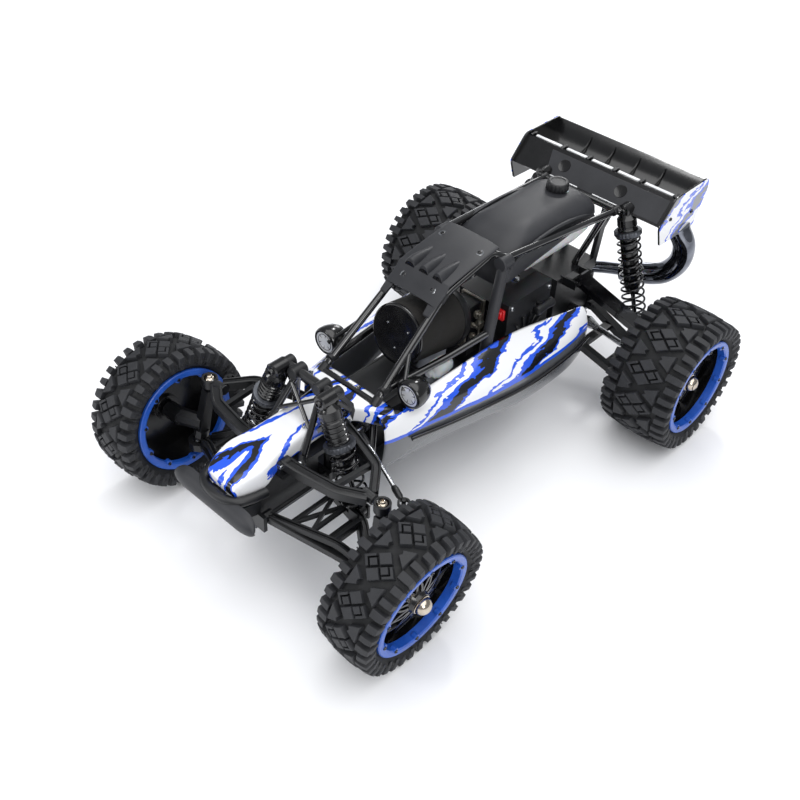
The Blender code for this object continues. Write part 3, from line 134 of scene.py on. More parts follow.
class Painter:
    """Adds shader nodes to one material and links them."""

    def __init__(self, name: str) -> None:
        """Starts a material with an empty node tree.

        Args:
            name: the material's name.
        """
        self.material = bpy.data.materials.new(name)
        self.material.use_nodes = True
        self.tree = self.material.node_tree
        self.tree.nodes.clear()
        self.place = self.add("ShaderNodeTexCoord").outputs["Object"]

    def add(self, kind: str, settings: dict | None = None, **inputs: object) -> bpy.types.Node:
        """Adds a node.

        Args:
            kind: the node's type name.
            settings: attributes to set on the node.
            **inputs: socket values or source sockets; an underscore stands for a space, and
                a name such as i0 is the socket of that number.

        Returns:
            The new node.
        """
        node = self.tree.nodes.new(kind)
        for key, value in (settings or {}).items():
            setattr(node, key, value)
        for key, value in inputs.items():
            numbered = key[0] == "i" and key[1:].isdigit()
            socket = node.inputs[int(key[1:])] if numbered else node.inputs[key.replace("_", " ")]
            if isinstance(value, bpy.types.NodeSocket):
                self.tree.links.new(value, socket)
            else:
                socket.default_value = value
        return node

    def math(self, operation: str, first: object, second: object = 0.0) -> bpy.types.NodeSocket:
        """Adds a maths node.

        Args:
            operation: the node's operation.
            first: the first value or socket.
            second: the second value or socket.

        Returns:
            The result's socket.
        """
        return self.add("ShaderNodeMath", {"operation": operation}, i0=first, i1=second).outputs[0]

    def noise(self, size_mm: float, detail: float = 2.0, rough: float = 0.5,
              stretch: Point = (1, 1, 1), turn: Point = (0, 0, 0)) -> bpy.types.NodeSocket:
        """Adds noise whose features are about one size.

        Args:
            size_mm: the feature size on the object.
            detail: octaves.
            rough: roughness of the octaves.
            stretch: scale along the axes.
            turn: rotation of the pattern in radians.

        Returns:
            The noise value, from 0 to 1.
        """
        mapped = self.add("ShaderNodeMapping", Vector=self.place, Scale=stretch, Rotation=turn)
        made = self.add("ShaderNodeTexNoise", Vector=mapped.outputs[0], Scale=1 / (size_mm * MM),
                        Detail=detail, Roughness=rough)
        return made.outputs[0]

    def ramp(self, value: object, stops: Sequence[tuple[float, str]],
             stepped: bool = False) -> bpy.types.NodeSocket:
        """Adds a colour ramp.

        Args:
            value: the source socket.
            stops: places from 0 to 1 with their hex colours.
            stepped: True for hard edges between the colours.

        Returns:
            The colour socket.
        """
        node = self.add("ShaderNodeValToRGB", Fac=value)
        node.color_ramp.interpolation = "CONSTANT" if stepped else "LINEAR"
        elements = node.color_ramp.elements
        while len(elements) < len(stops):
            elements.new(0.5)
        for element, (place, _) in zip(elements, sorted(stops)):
            element.position = place
        for element, (_, code) in zip(elements, sorted(stops)):
            element.color = linear(code)
        return node.outputs[0]

    def spread(self, value: object, low: float, high: float) -> bpy.types.NodeSocket:
        """Maps a value of 0.3 to 0.7, as noise has, onto another range.

        Args:
            value: the source socket.
            low: what 0.3 becomes.
            high: what 0.7 becomes.

        Returns:
            The mapped value's socket.
        """
        node = self.add("ShaderNodeMapRange", Value=value)
        for name, number in (("From Min", 0.3), ("From Max", 0.7), ("To Min", low), ("To Max", high)):
            node.inputs[name].default_value = number
        return node.outputs[0]

    def bump(self, height: object, depth_mm: float, before: object = None) -> bpy.types.NodeSocket:
        """Adds a bump of a real depth.

        Args:
            height: the height's socket, from 0 to 1.
            depth_mm: how deep the relief is on the object.
            before: the normal of a coarser bump beneath it.

        Returns:
            The normal's socket.
        """
        extra = {} if before is None else {"Normal": before}
        return self.add("ShaderNodeBump", Height=height, Distance=depth_mm * MM, Strength=1.0,
                        **extra).outputs[0]

    def done(self, shader: bpy.types.NodeSocket) -> bpy.types.Material:
        """Links the shader to the output.

        Args:
            shader: the surface's socket.

        Returns:
            The finished material.
        """
        self.add("ShaderNodeOutputMaterial", Surface=shader)
        return self.material


# --------------------------------------------------------------------------- finishes


@dataclass(frozen=True)
class Finish:
    """One surface finish: its real material and how that was made."""

    name: str
    colour: str
    rough: float

    def paint(self, painter: Painter) -> bpy.types.NodeSocket:
        """Builds the shader.

        Args:
            painter: adds nodes to the new material.

        Returns:
            The surface's socket.
        """
        raise NotImplementedError

    def material(self) -> bpy.types.Material:
        """The finish as a Blender material, made once."""
        return _material(self)


@lru_cache(maxsize=None)
def _material(finish: Finish) -> bpy.types.Material:
    """Builds a finish's material, once for each finish.

    Args:
        finish: the surface to build.

    Returns:
        Its material, shared by all pieces of that finish.
    """
    painter = Painter(finish.name)
    return painter.done(finish.paint(painter))


@dataclass(frozen=True)
class Moulded(Finish):
    """Plastic from a spark-eroded tool: even colour, fine grain, soft broken highlights."""

    pale: str = "3a3b3f"
    grain_mm: float = 0.5
    grain_depth_mm: float = 0.05
    coat: float = 0.0

    def paint(self, painter: Painter) -> bpy.types.NodeSocket:
        """Grain from fine noise, cloudy colour and roughness from coarse noise.

        Args:
            painter: adds nodes to the new material.

        Returns:
            The surface's socket.
        """
        cloud = painter.noise(28, 4, 0.6)
        grain = painter.noise(self.grain_mm, 3, 0.6)
        colour = painter.ramp(cloud, [(0.3, self.colour), (0.75, self.pale)])
        return painter.add(
            "ShaderNodeBsdfPrincipled", Base_Color=colour,
            Roughness=painter.spread(cloud, self.rough * 0.88, self.rough * 1.12),
            Normal=painter.bump(grain, self.grain_depth_mm),
            **{"Coat Weight": self.coat, "Coat Roughness": 0.12, "IOR": 1.5},
        ).outputs[0]


@dataclass(frozen=True)
class Rubber(Finish):
    """Tyre rubber cured in a blasted mould: dull, a little dusty on the tops."""

    dust: str = "55565a"

    def paint(self, painter: Painter) -> bpy.types.NodeSocket:
        """Dusty patches in the colour, and two sizes of skin texture in the bump.

        Args:
            painter: adds nodes to the new material.

        Returns:
            The surface's socket.
        """
        patch = painter.noise(16, 5, 0.65)
        skin = painter.noise(0.6, 3, 0.6)
        lumps = painter.bump(painter.noise(5, 3, 0.5), 0.12)
        return painter.add(
            "ShaderNodeBsdfPrincipled",
            Base_Color=painter.ramp(patch, [(0.25, self.colour), (0.8, self.dust)]),
            Roughness=painter.spread(patch, self.rough - 0.08, self.rough + 0.1),
            Normal=painter.bump(skin, 0.06, lumps),
            **{"Specular IOR Level": 0.45},
        ).outputs[0]


@dataclass(frozen=True)
class Metal(Finish):
    """Machined, plated or painted metal: fine drawn lines and slow changes in gloss."""

    pale: str = "c8c8c8"
    metallic: float = 1.0
    line_mm: float = 0.4
    line_depth_mm: float = 0.01
    coat: float = 0.0

    def paint(self, painter: Painter) -> bpy.types.NodeSocket:
        """Stretched noise draws the lines, and coarse noise varies the colour.

        Args:
            painter: adds nodes to the new material.

        Returns:
            The surface's socket.
        """
        cloud = painter.noise(18, 3, 0.5)
        lines = painter.noise(self.line_mm, 2, 0.5, stretch=(0.12, 1, 1))
        return painter.add(
            "ShaderNodeBsdfPrincipled",
            Base_Color=painter.ramp(cloud, [(0.3, self.colour), (0.75, self.pale)]),
            Roughness=painter.spread(cloud, self.rough * 0.8, self.rough * 1.2),
            Metallic=self.metallic,
            Normal=painter.bump(lines, self.line_depth_mm),
            **{"Coat Weight": self.coat, "Coat Roughness": 0.05},
        ).outputs[0]


@dataclass(frozen=True)
class Livery(Finish):
    """Polycarbonate painted inside: glossy, with torn diagonal bands of four colours."""

    blue: str = "1f57e0"
    black: str = "0b0c0f"
    grey: str = "5a5c60"
    period_mm: float = 165.0
    along: float = 1.0
    slope: float = 2.4
    across: float = -2.0
    shift: float = 0.1
    tear_mm: float = 24.0
    sill_mm: float = 0.0

    def paint(self, painter: Painter) -> bpy.types.NodeSocket:
        """A slanted saw wave, torn by stretched noise, picks the band's colour by steps.

        Args:
            painter: adds nodes to the new material.

        Returns:
            The surface's socket.
        """
        parts = painter.add("ShaderNodeSeparateXYZ", Vector=painter.place).outputs
        tear = painter.noise(self.tear_mm, 2, 0.5, (0.4, 1, 1))
        tooth = painter.noise(self.tear_mm * 0.3, 2, 0.7, (0.35, 1, 1))
        broad = painter.noise(120, 1, 0.4)
        slant = painter.math("MULTIPLY", parts["Z"], self.slope)
        side = painter.math("MULTIPLY", painter.math("ABSOLUTE", parts["Y"]), self.across)
        length = painter.math("MULTIPLY", parts["X"], self.along)
        along = painter.math("ADD", painter.math("ADD", length, slant), side)
        wave = painter.math("DIVIDE", along, self.period_mm * MM)
        wave = painter.math("ADD", wave, painter.math("MULTIPLY", tear, 0.75))
        wave = painter.math("ADD", wave, painter.math("MULTIPLY", tooth, 0.3))
        wave = painter.math("ADD", wave, painter.math("MULTIPLY", broad, 0.6))
        wave = painter.math("FRACT", painter.math("ADD", wave, self.shift + 4.0))
        stops = [(0.0, self.colour), (0.3, self.blue), (0.37, self.black), (0.55, self.blue),
                 (0.67, self.colour), (0.83, self.blue), (0.92, self.colour)]
        colour = painter.ramp(wave, stops, stepped=True)
        if self.sill_mm:
            line = painter.math("ADD", parts["Z"], painter.math("MULTIPLY", tear, 9 * MM))
            low = painter.math("LESS_THAN", line, (self.sill_mm + 4.5) * MM)
            rim = painter.math("LESS_THAN", line, (self.sill_mm + 9.5) * MM)
            for cover, code in ((rim, self.blue), (low, self.grey)):
                mix = painter.add("ShaderNodeMix", {"data_type": "RGBA"}, i0=cover)
                painter.tree.links.new(colour, mix.inputs[6])
                mix.inputs[7].default_value = linear(code)
                colour = mix.outputs[2]
        return painter.add(
            "ShaderNodeBsdfPrincipled", Base_Color=colour,
            Roughness=painter.spread(broad, self.rough * 0.9, self.rough * 1.15),
            Normal=painter.bump(painter.noise(14, 2), 0.05),
            **{"Coat Weight": 0.7, "Coat Roughness": 0.06},
        ).outputs[0]


@dataclass(frozen=True)
class Frosted(Finish):
    """Blow-moulded polyethylene: milky, light passes into it and scatters."""

    through: float = 0.25

    def paint(self, painter: Painter) -> bpy.types.NodeSocket:
        """Scattering under the skin, with a light orange-peel bump.

        Args:
            painter: adds nodes to the new material.

        Returns:
            The surface's socket.
        """
        cloud = painter.noise(30, 2)
        return painter.add(
            "ShaderNodeBsdfPrincipled",
            Base_Color=painter.ramp(cloud, [(0.3, self.colour), (0.7, "ffffff")]),
            Roughness=painter.spread(cloud, self.rough * 0.9, self.rough * 1.1),
            Normal=painter.bump(painter.noise(3, 2), 0.06),
            **{"Subsurface Weight": 0.4, "Subsurface Scale": 0.01,
               "Transmission Weight": self.through},
        ).outputs[0]


# Glass-filled nylon, injection moulded: near black, fine spark grain, soft highlights.
NYLON = Moulded("glass_filled_nylon_injection_moulded", "0c0d0f", 0.4, "17181b")
# The same nylon, polished tool: the deeper black of the gearbox and engine covers.
NYLON_GLOSS = Moulded("nylon_polished_tool", "060607", 0.22, "0c0c0e", 0.8, 0.02, 0.4)
# ABS panel, thermoformed and matt: the greyer roof, bumper and tank cover.
ABS_MATT = Moulded("abs_panel_matt_thermoformed", "222327", 0.5, "2c2d31", 0.6, 0.03)
# Steel tube, powder coated gloss black: long sharp highlights.
TUBE = Metal("steel_tube_powder_coated_gloss", "050506", 0.16, "0d0d10", 0.0, 0.9, 0.01, 1.0)
# Natural rubber, press cured: charcoal with dusty tops.
TYRE = Rubber("tyre_rubber_press_cured", "1b1c1f", 0.62, "303135")
# The same rubber in the grooves and on the side walls, made darker there: painted shade in the
# recesses.
TYRE_PAINTED_SHADE = Rubber("tyre_rubber_grooves", "0e0f11", 0.7, "191a1d")
# Nylon ring, dyed and clear coated: saturated blue with a soft sheen.
BLUE_RING = Moulded("nylon_ring_dyed_blue", "174aa8", 0.36, "2560c8", 0.9, 0.02, 0.25)
# Steel, nickel plated: warm bright nuts.
NICKEL = Metal("steel_nickel_plated", "a89c8c", 0.2, "d9cfc0")
# Steel, zinc plated: cold bright screws, balls and rods.
ZINC = Metal("steel_zinc_plated", "9fa2a6", 0.22, "dcdee0")
# Spring steel wire, black oxide and oiled: dark with bright glints.
WIRE = Metal("spring_wire_black_oxide", "0c0c0e", 0.18, "1d1d21", 0.7, 0.5, 0.01, 0.8)
# Rolled aluminium, bead blasted and anodised grey.
ALLOY = Metal("aluminium_anodised_grey", "4b4d52", 0.4, "6d7076", 0.85, 0.3, 0.02)
# Cast aluminium, tumbled: the carburettor's mottled silver.
CAST = Metal("aluminium_cast_tumbled", "7f7b72", 0.38, "b9b4a8", 0.9, 1.6, 0.25)
# Steel pipe, black chrome plated: dark mirror.
BLACK_CHROME = Metal("steel_black_chrome_plated", "5d6068", 0.05, "8a8d95", 1.0, 3.0, 0.004, 0.0)
# Open-cell polyurethane foam, oiled: charcoal, no highlight, small pits.
FOAM = Moulded("polyurethane_foam_open_cell", "141312", 0.95, "211f1d", 1.1, 0.9)
# Fuel tank and bottle plastics.
TANK = Frosted("polyethylene_blow_moulded", "e3e7ee", 0.36, 0.15)
BOTTLE = Frosted("polypropylene_bottle_clear", "d8e2ec", 0.2, 0.7)
# Signal-red ABS, polished tool.
RED = Moulded("abs_red_polished", "d81f24", 0.3, "ee3a3c", 1.0, 0.01, 0.4)
# Reflector, vacuum metallised, made a mostly diffuse near-white: painted reflection on the lamp
# reflectors and painted highlights on the wing strips.
PAINTED_REFLECTION_WHITE = Metal("abs_reflector_vacuum_metallised", "e8eaed", 0.25, "ffffff", 0.2, 2.0, 0.004, 0.8)
# Polycarbonate sheet, vacuum formed and painted inside: gloss over crisp torn bands.
BODY_PAINT = Livery("polycarbonate_painted_bands", "f4f5f7", 0.22, sill_mm=139.0)
BONNET_PAINT = Livery("polycarbonate_painted_bonnet", "f4f5f7", 0.22, period_mm=92.0, along=0.5,
                      slope=0.0, across=-2.2, shift=0.2, tear_mm=30.0)
WING_PAINT = Livery("polycarbonate_painted_wing_ends", "f4f5f7", 0.22, black="6b6d72",
                    period_mm=78.0, slope=1.1, across=0.0, shift=0.35, tear_mm=16.0)


# --------------------------------------------------------------------------- mesh building


@dataclass(frozen=True)
class Site:
    """Turns millimetres from the middle of the wheelbase into the frame's metres."""

    origin: Vector

    @classmethod
    def from_frame(cls) -> Site:
        """Finds the origin from the tyres' and the chassis plate's boxes.

        Returns:
            The place that the millimetres count from.
        """
        ends = []
        for end in ("front", "rear"):
            low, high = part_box(f"tyre_{end}_left")
            ends.append((low.x + high.x) / 2)
        low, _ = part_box("chassis_plate")
        return cls(Vector((sum(ends) / 2, 0.0, low.z - PLATE_LOW_MM * MM)))

    def at(self, point: Point) -> Vector:
        """A point in millimetres as a point of the frame."""
        return Vector(point) * MM + self.origin


def flip(points: Sequence[Point], side: int) -> list[Vector]:
    """Moves points given for the left side to a side.

    Args:
        points: points of the left side.
        side: 1 for the left and -1 for the right.

    Returns:
        The points on that side.
    """
    return [Vector((p[0], p[1] * side, p[2])) for p in points]


def rounded(path: Sequence[Point], radius: float, steps: int = 6) -> list[Vector]:
    """Rounds the inner corners of a path.

    Args:
        path: corner points.
        radius: how far from each corner its curve starts.
        steps: segments in each curve.

    Returns:
        The smooth path's points.
    """
    corners = [Vector(p) for p in path]
    out = [corners[0]]
    for before, corner, after in zip(corners, corners[1:], corners[2:]):
        reach = min(radius, (before - corner).length * 0.45, (after - corner).length * 0.45)
        start = corner + (before - corner).normalized() * reach
        end = corner + (after - corner).normalized() * reach
        for i in range(steps + 1):
            t = i / steps
            out.append(start.lerp(corner, t).lerp(corner.lerp(end, t), t))
    out.append(corners[-1])
    return out


def smooth_curve(points: Sequence[Point], steps: int) -> list[Vector]:
    """A Catmull-Rom curve through the points.

    Args:
        points: the points that it passes.
        steps: segments between two points.

    Returns:
        The curve's points, both ends included.
    """
    p = [Vector(q) for q in points]
    p = [p[0] * 2 - p[1], *p, p[-1] * 2 - p[-2]]
    out = []
    for a, b, c, d in zip(p, p[1:], p[2:], p[3:]):
        for i in range(steps):
            t = i / steps
            out.append(0.5 * (2 * b + (c - a) * t + (2 * a - 5 * b + 4 * c - d) * t * t
                              + (3 * b - a - 3 * c + d) * t ** 3))
    out.append(p[-2])
    return out


def basis(axis: Point) -> tuple[Vector, Vector, Vector]:
    """Finds two directions square to an axis.

    Args:
        axis: the axis, of any length.

    Returns:
        The two directions and the axis itself, all of unit length.
    """
    w = Vector(axis).normalized()
    helper = Vector((0, 0, 1)) if abs(w.z) < 0.9 else Vector((1, 0, 0))
    u = helper.cross(w).normalized()
    return u, w.cross(u), w


@dataclass
class Solid:
    """Faces gathered in millimetres, which become one piece of the car."""

    points: list[Vector] = field(default_factory=list)
    faces: list[tuple[int, ...]] = field(default_factory=list)

    def rings(self, loops: Sequence[Sequence[Point]], cyclic: bool = False,
              caps: bool = True) -> Solid:
        """Joins closed loops of equal length into a skin.

        Args:
            loops: the loops, in order.
            cyclic: True to join the last loop to the first.
            caps: True to close both ends.

        Returns:
            This solid.
        """
        first, count = len(self.points), len(loops[0])
        for loop in loops:
            self.points.extend(Vector(p) for p in loop)
        pairs = len(loops) if cyclic else len(loops) - 1
        for i in range(pairs):
            a, b = first + i * count, first + ((i + 1) % len(loops)) * count
            for k in range(count):
                n = (k + 1) % count
                self.faces.append((a + k, a + n, b + n, b + k))
        if caps and not cyclic:
            self.faces.append(tuple(range(first + count - 1, first - 1, -1)))
            last = first + (len(loops) - 1) * count
            self.faces.append(tuple(range(last, last + count)))
        return self

    def lathe(self, profile: Sequence[tuple[float, float]], origin: Point, axis: Point,
              sides: int = 40, cyclic: bool = False) -> Solid:
        """Turns a profile about an axis.

        Args:
            profile: (along the axis, radius) points.
            origin: where along is 0.
            axis: the axis' direction.
            sides: flats round the axis.
            cyclic: True for a profile that closes on itself.

        Returns:
            This solid.
        """
        u, v, w = basis(axis)
        start = Vector(origin)
        loops = []
        for along, radius in profile:
            centre = start + w * along
            loops.append([centre + (u * math.cos(TURN * k / sides) + v * math.sin(TURN * k / sides))
                          * max(radius, 0.02) for k in range(sides)])
        return self.rings(loops, cyclic=cyclic)

    def rod(self, start: Point, end: Point, radius: float, sides: int = 20,
            chamfer: float = 0.6) -> Solid:
        """Adds a straight round bar with chamfered ends.

        Args:
            start: the middle of one end.
            end: the middle of the other end.
            radius: the bar's radius.
            sides: flats round the bar.
            chamfer: width of the chamfer, at most half the radius.

        Returns:
            This solid.
        """
        a, b = Vector(start), Vector(end)
        length, c = (b - a).length, min(chamfer, radius * 0.5)
        profile = [(0, radius - c), (c, radius), (length - c, radius), (length, radius - c)]
        return self.lathe(profile, a, b - a, sides)

    def sweep(self, path: Sequence[Point], section: Sequence[tuple[float, float]],
              upward: Point = (0, 0, 1), cyclic: bool = False) -> Solid:
        """Moves a flat section along a path.

        Args:
            path: the path's points.
            section: (sideways, up) points of the section.
            upward: the direction that the section's second number follows at the start.
            cyclic: True for a closed path.

        Returns:
            This solid.
        """
        points = [Vector(p) for p in path]
        up = Vector(upward)
        loops = []
        for i, point in enumerate(points):
            ahead = points[(i + 1) % len(points)] if cyclic else points[min(i + 1, len(points) - 1)]
            behind = points[i - 1] if cyclic else points[max(i - 1, 0)]
            along = (ahead - behind).normalized()
            up = (up - along * up.dot(along))
            up = up.normalized() if up.length > 1e-6 else basis(along)[0]
            sideways = along.cross(up)
            loops.append([point + sideways * a + up * b for a, b in section])
        return self.rings(loops, cyclic=cyclic)

    def tube(self, path: Sequence[Point], radius: float, sides: int = 18,
             cyclic: bool = False) -> Solid:
        """Adds a round bar along a path.

        Args:
            path: the path's points.
            radius: the bar's radius.
            sides: flats round the bar.
            cyclic: True for a closed path.

        Returns:
            This solid.
        """
        section = [(radius * math.cos(TURN * k / sides), radius * math.sin(TURN * k / sides))
                   for k in range(sides)]
        first = Vector(path[1]) - Vector(path[0])
        return self.sweep(path, section, basis(first)[0], cyclic)

    def plate(self, outline: Sequence[tuple[float, float]], thickness: float, origin: Point,
              u: Point, v: Point, holes: Sequence[Sequence[tuple[float, float]]] = ()) -> Solid:
        """A flat plate with holes right through.

        Args:
            outline: the outer edge, as (along u, along v).
            thickness: how thick, along u x v.
            origin: where (0, 0) lies.
            u: the first direction.
            v: the second direction.
            holes: the edges of the holes.

        Returns:
            This solid.
        """
        edges = [list(outline), *[list(h) for h in holes]]
        flat = [Vector(p) for loop in edges for p in loop]
        rings, start = [], 0
        for loop in edges:
            rings.append(list(range(start, start + len(loop))))
            start += len(loop)
        made = delaunay_2d_cdt(flat, [], rings[:1], 1, 1e-7) if not holes else delaunay_2d_cdt(
            flat, [(r[i - 1], r[i]) for r in rings for i in range(len(r))], [], 0, 1e-7)
        verts, tris = made[0], [tuple(t) for t in made[2]]
        tris = [t for t in tris if self._inside(t, verts, edges)]
        a, b = Vector(u).normalized(), Vector(v).normalized()
        n, base = a.cross(b), Vector(origin)
        first, count = len(self.points), len(verts)
        for lift in (0.0, thickness):
            self.points.extend(base + a * p.x + b * p.y + n * lift for p in verts)
        used: dict[tuple[int, int], tuple[int, int]] = {}
        for tri in tris:
            self.faces.append(tuple(first + i for i in reversed(tri)))
            self.faces.append(tuple(first + count + i for i in tri))
            for p, q in zip(tri, (*tri[1:], tri[0])):
                key = (min(p, q), max(p, q))
                if key in used:
                    used[key] = (-1, -1)
                else:
                    used[key] = (p, q)
        for p, q in used.values():
            if p >= 0:
                self.faces.append((first + p, first + q, first + count + q, first + count + p))
        return self

    @staticmethod
    def _inside(tri: tuple[int, ...], verts: Sequence[Vector],
                edges: Sequence[Sequence[tuple[float, float]]]) -> bool:
        """Tells whether a triangle's middle lies in the outline and in none of the holes.

        Args:
            tri: the triangle's corners, as places in verts.
            verts: the flat points.
            edges: the outline, then the holes.

        Returns:
            True if the triangle belongs to the plate.
        """
        middle = sum((verts[i] for i in tri), Vector((0, 0))) / len(tri)

        def within(loop: Sequence[tuple[float, float]]) -> bool:
            """Tells whether the middle lies in one loop.

            Args:
                loop: the loop's corners.

            Returns:
                True if it lies inside.
            """
            hit = False
            for (x0, y0), (x1, y1) in zip(loop, [*loop[1:], loop[0]]):
                if (y0 > middle.y) != (y1 > middle.y):
                    if middle.x < (x1 - x0) * (middle.y - y0) / (y1 - y0) + x0:
                        hit = not hit
            return hit

        return within(edges[0]) and not any(within(e) for e in edges[1:])

    def block(self, low: Point, high: Point) -> Solid:
        """Adds a box, whose edges a bevel rounds.

        Args:
            low: the corner with the smallest numbers.
            high: the corner with the largest numbers.

        Returns:
            This solid.
        """
        (x0, y0, z0), (x1, y1, z1) = low, high
        loop = [(x0, y0), (x1, y0), (x1, y1), (x0, y1)]
        return self.rings([[(x, y, z) for x, y in loop] for z in (z0, z1)])

    def screw(self, at: Point, axis: Point, radius: float = 2.6) -> Solid:
        """Adds a button-head screw with its socket, standing on a surface.

        Args:
            at: where its axis meets the surface.
            axis: the way out of the surface.
            radius: the head's radius.

        Returns:
            This solid.
        """
        u, v, w = basis(axis)
        base, r = Vector(at), radius
        head = [(-1.0, r), (0.25 * r, r), (0.62 * r, r * 0.82), (0.74 * r, r * 0.56)]
        socket = [(0.74 * r, r * 0.5), (0.1 * r, r * 0.42)]
        return self.rings([[base + w * high + (u * math.cos(TURN * k / 12)
                                               + v * math.sin(TURN * k / 12)) * wide
                            for k in range(12)] for high, wide in (*head, *socket)])

    def join(self, other: Solid) -> Solid:
        """Takes in another solid's points and faces.

        Args:
            other: the solid to take in.

        Returns:
            This solid.
        """
        base = len(self.points)
        self.points += other.points
        self.faces += [tuple(i + base for i in face) for face in other.faces]
        return self


def circle(x: float, y: float, radius: float, count: int = 20, turn: float = 0.0,
           ) -> list[tuple[float, float]]:
    """Finds points round a circle; six of them make a hexagon.

    Args:
        x: the middle's first number.
        y: the middle's second number.
        radius: the circle's radius.
        count: how many points.
        turn: where the first point lies, in radians.

    Returns:
        The points.
    """
    return [(x + radius * math.cos(TURN * k / count + turn),
             y + radius * math.sin(TURN * k / count + turn)) for k in range(count)]


def open_skin(rows: Sequence[Sequence[Point]]) -> Solid:
    """Lays an open skin over rows of points.

    Args:
        rows: rows of equally many points.

    Returns:
        The skin.
    """
    solid = Solid([Vector(p) for row in rows for p in row])
    count = len(rows[0])
    for i in range(len(rows) - 1):
        for k in range(count - 1):
            a, b = i * count + k, (i + 1) * count + k
            solid.faces.append((a, a + 1, b + 1, b))
    return solid


class Assembly(Protocol):
    """A sub-assembly of the car."""

    def build(self) -> None:
        """Makes its pieces."""


@dataclass
class Shop:
    """Turns solids into pieces that ride on the frame's bodies."""

    site: Site
    made: list[str] = field(default_factory=list)

    def piece(self, name: str, solid: Solid, finish: Finish,
              body: str | tuple[str, str, Point, Point], slot: Slot,
              bevel: float = 0.0, replaces: Sequence[str] = (), sharp: float = 34.0,
              thicken: float = 0.0, subdivide: int = 0) -> bpy.types.Object:
        """Makes one piece.

        Args:
            name: the piece's name.
            solid: its faces, in millimetres.
            finish: its surface.
            body: the body that it rides on, or a tuple of two bodies and two points, which are not
                used; the piece is then baked in place.
            slot: the record's material slot; not used.
            bevel: edge rounding in millimetres.
            replaces: CAD nodes that it stands for.
            sharp: edges with more than this angle stay sharp.
            thicken: wall thickness inwards, for an open skin.
            subdivide: levels of subdivision.

        Returns:
            The new object.
        """
        mesh = bpy.data.meshes.new(name)
        mesh.from_pydata([self.site.at(p) for p in solid.points], [], solid.faces)
        mesh.validate()
        mesh.shade_smooth()
        mesh.set_sharp_from_angle(angle=math.radians(sharp))
        mesh.materials.append(finish.material())
        made = bpy.data.objects.new(name, mesh)
        bpy.context.scene.collection.objects.link(made)
        if thicken:
            wall = made.modifiers.new("wall", "SOLIDIFY")
            wall.thickness, wall.offset = thicken * MM, -1.0
        if subdivide:
            skin = made.modifiers.new("skin", "SUBSURF")
            skin.levels = skin.render_levels = subdivide
        if bevel:
            edge = made.modifiers.new("edge", "BEVEL")
            edge.width, edge.segments, edge.limit_method = bevel * MM, BEVEL_SEGMENTS, "ANGLE"
            edge.angle_limit = math.radians(BEVEL_FROM_DEG)
            edge.harden_normals = False
        if isinstance(body, str):
            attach(made, body)
        else:
            first, second, start, end = body
            self.site.at(start)
            self.site.at(end)
            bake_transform(made)
        if replaces:
            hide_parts(*replaces)
        self.made.append(name)
        return made


# --------------------------------------------------------------------------- wheels


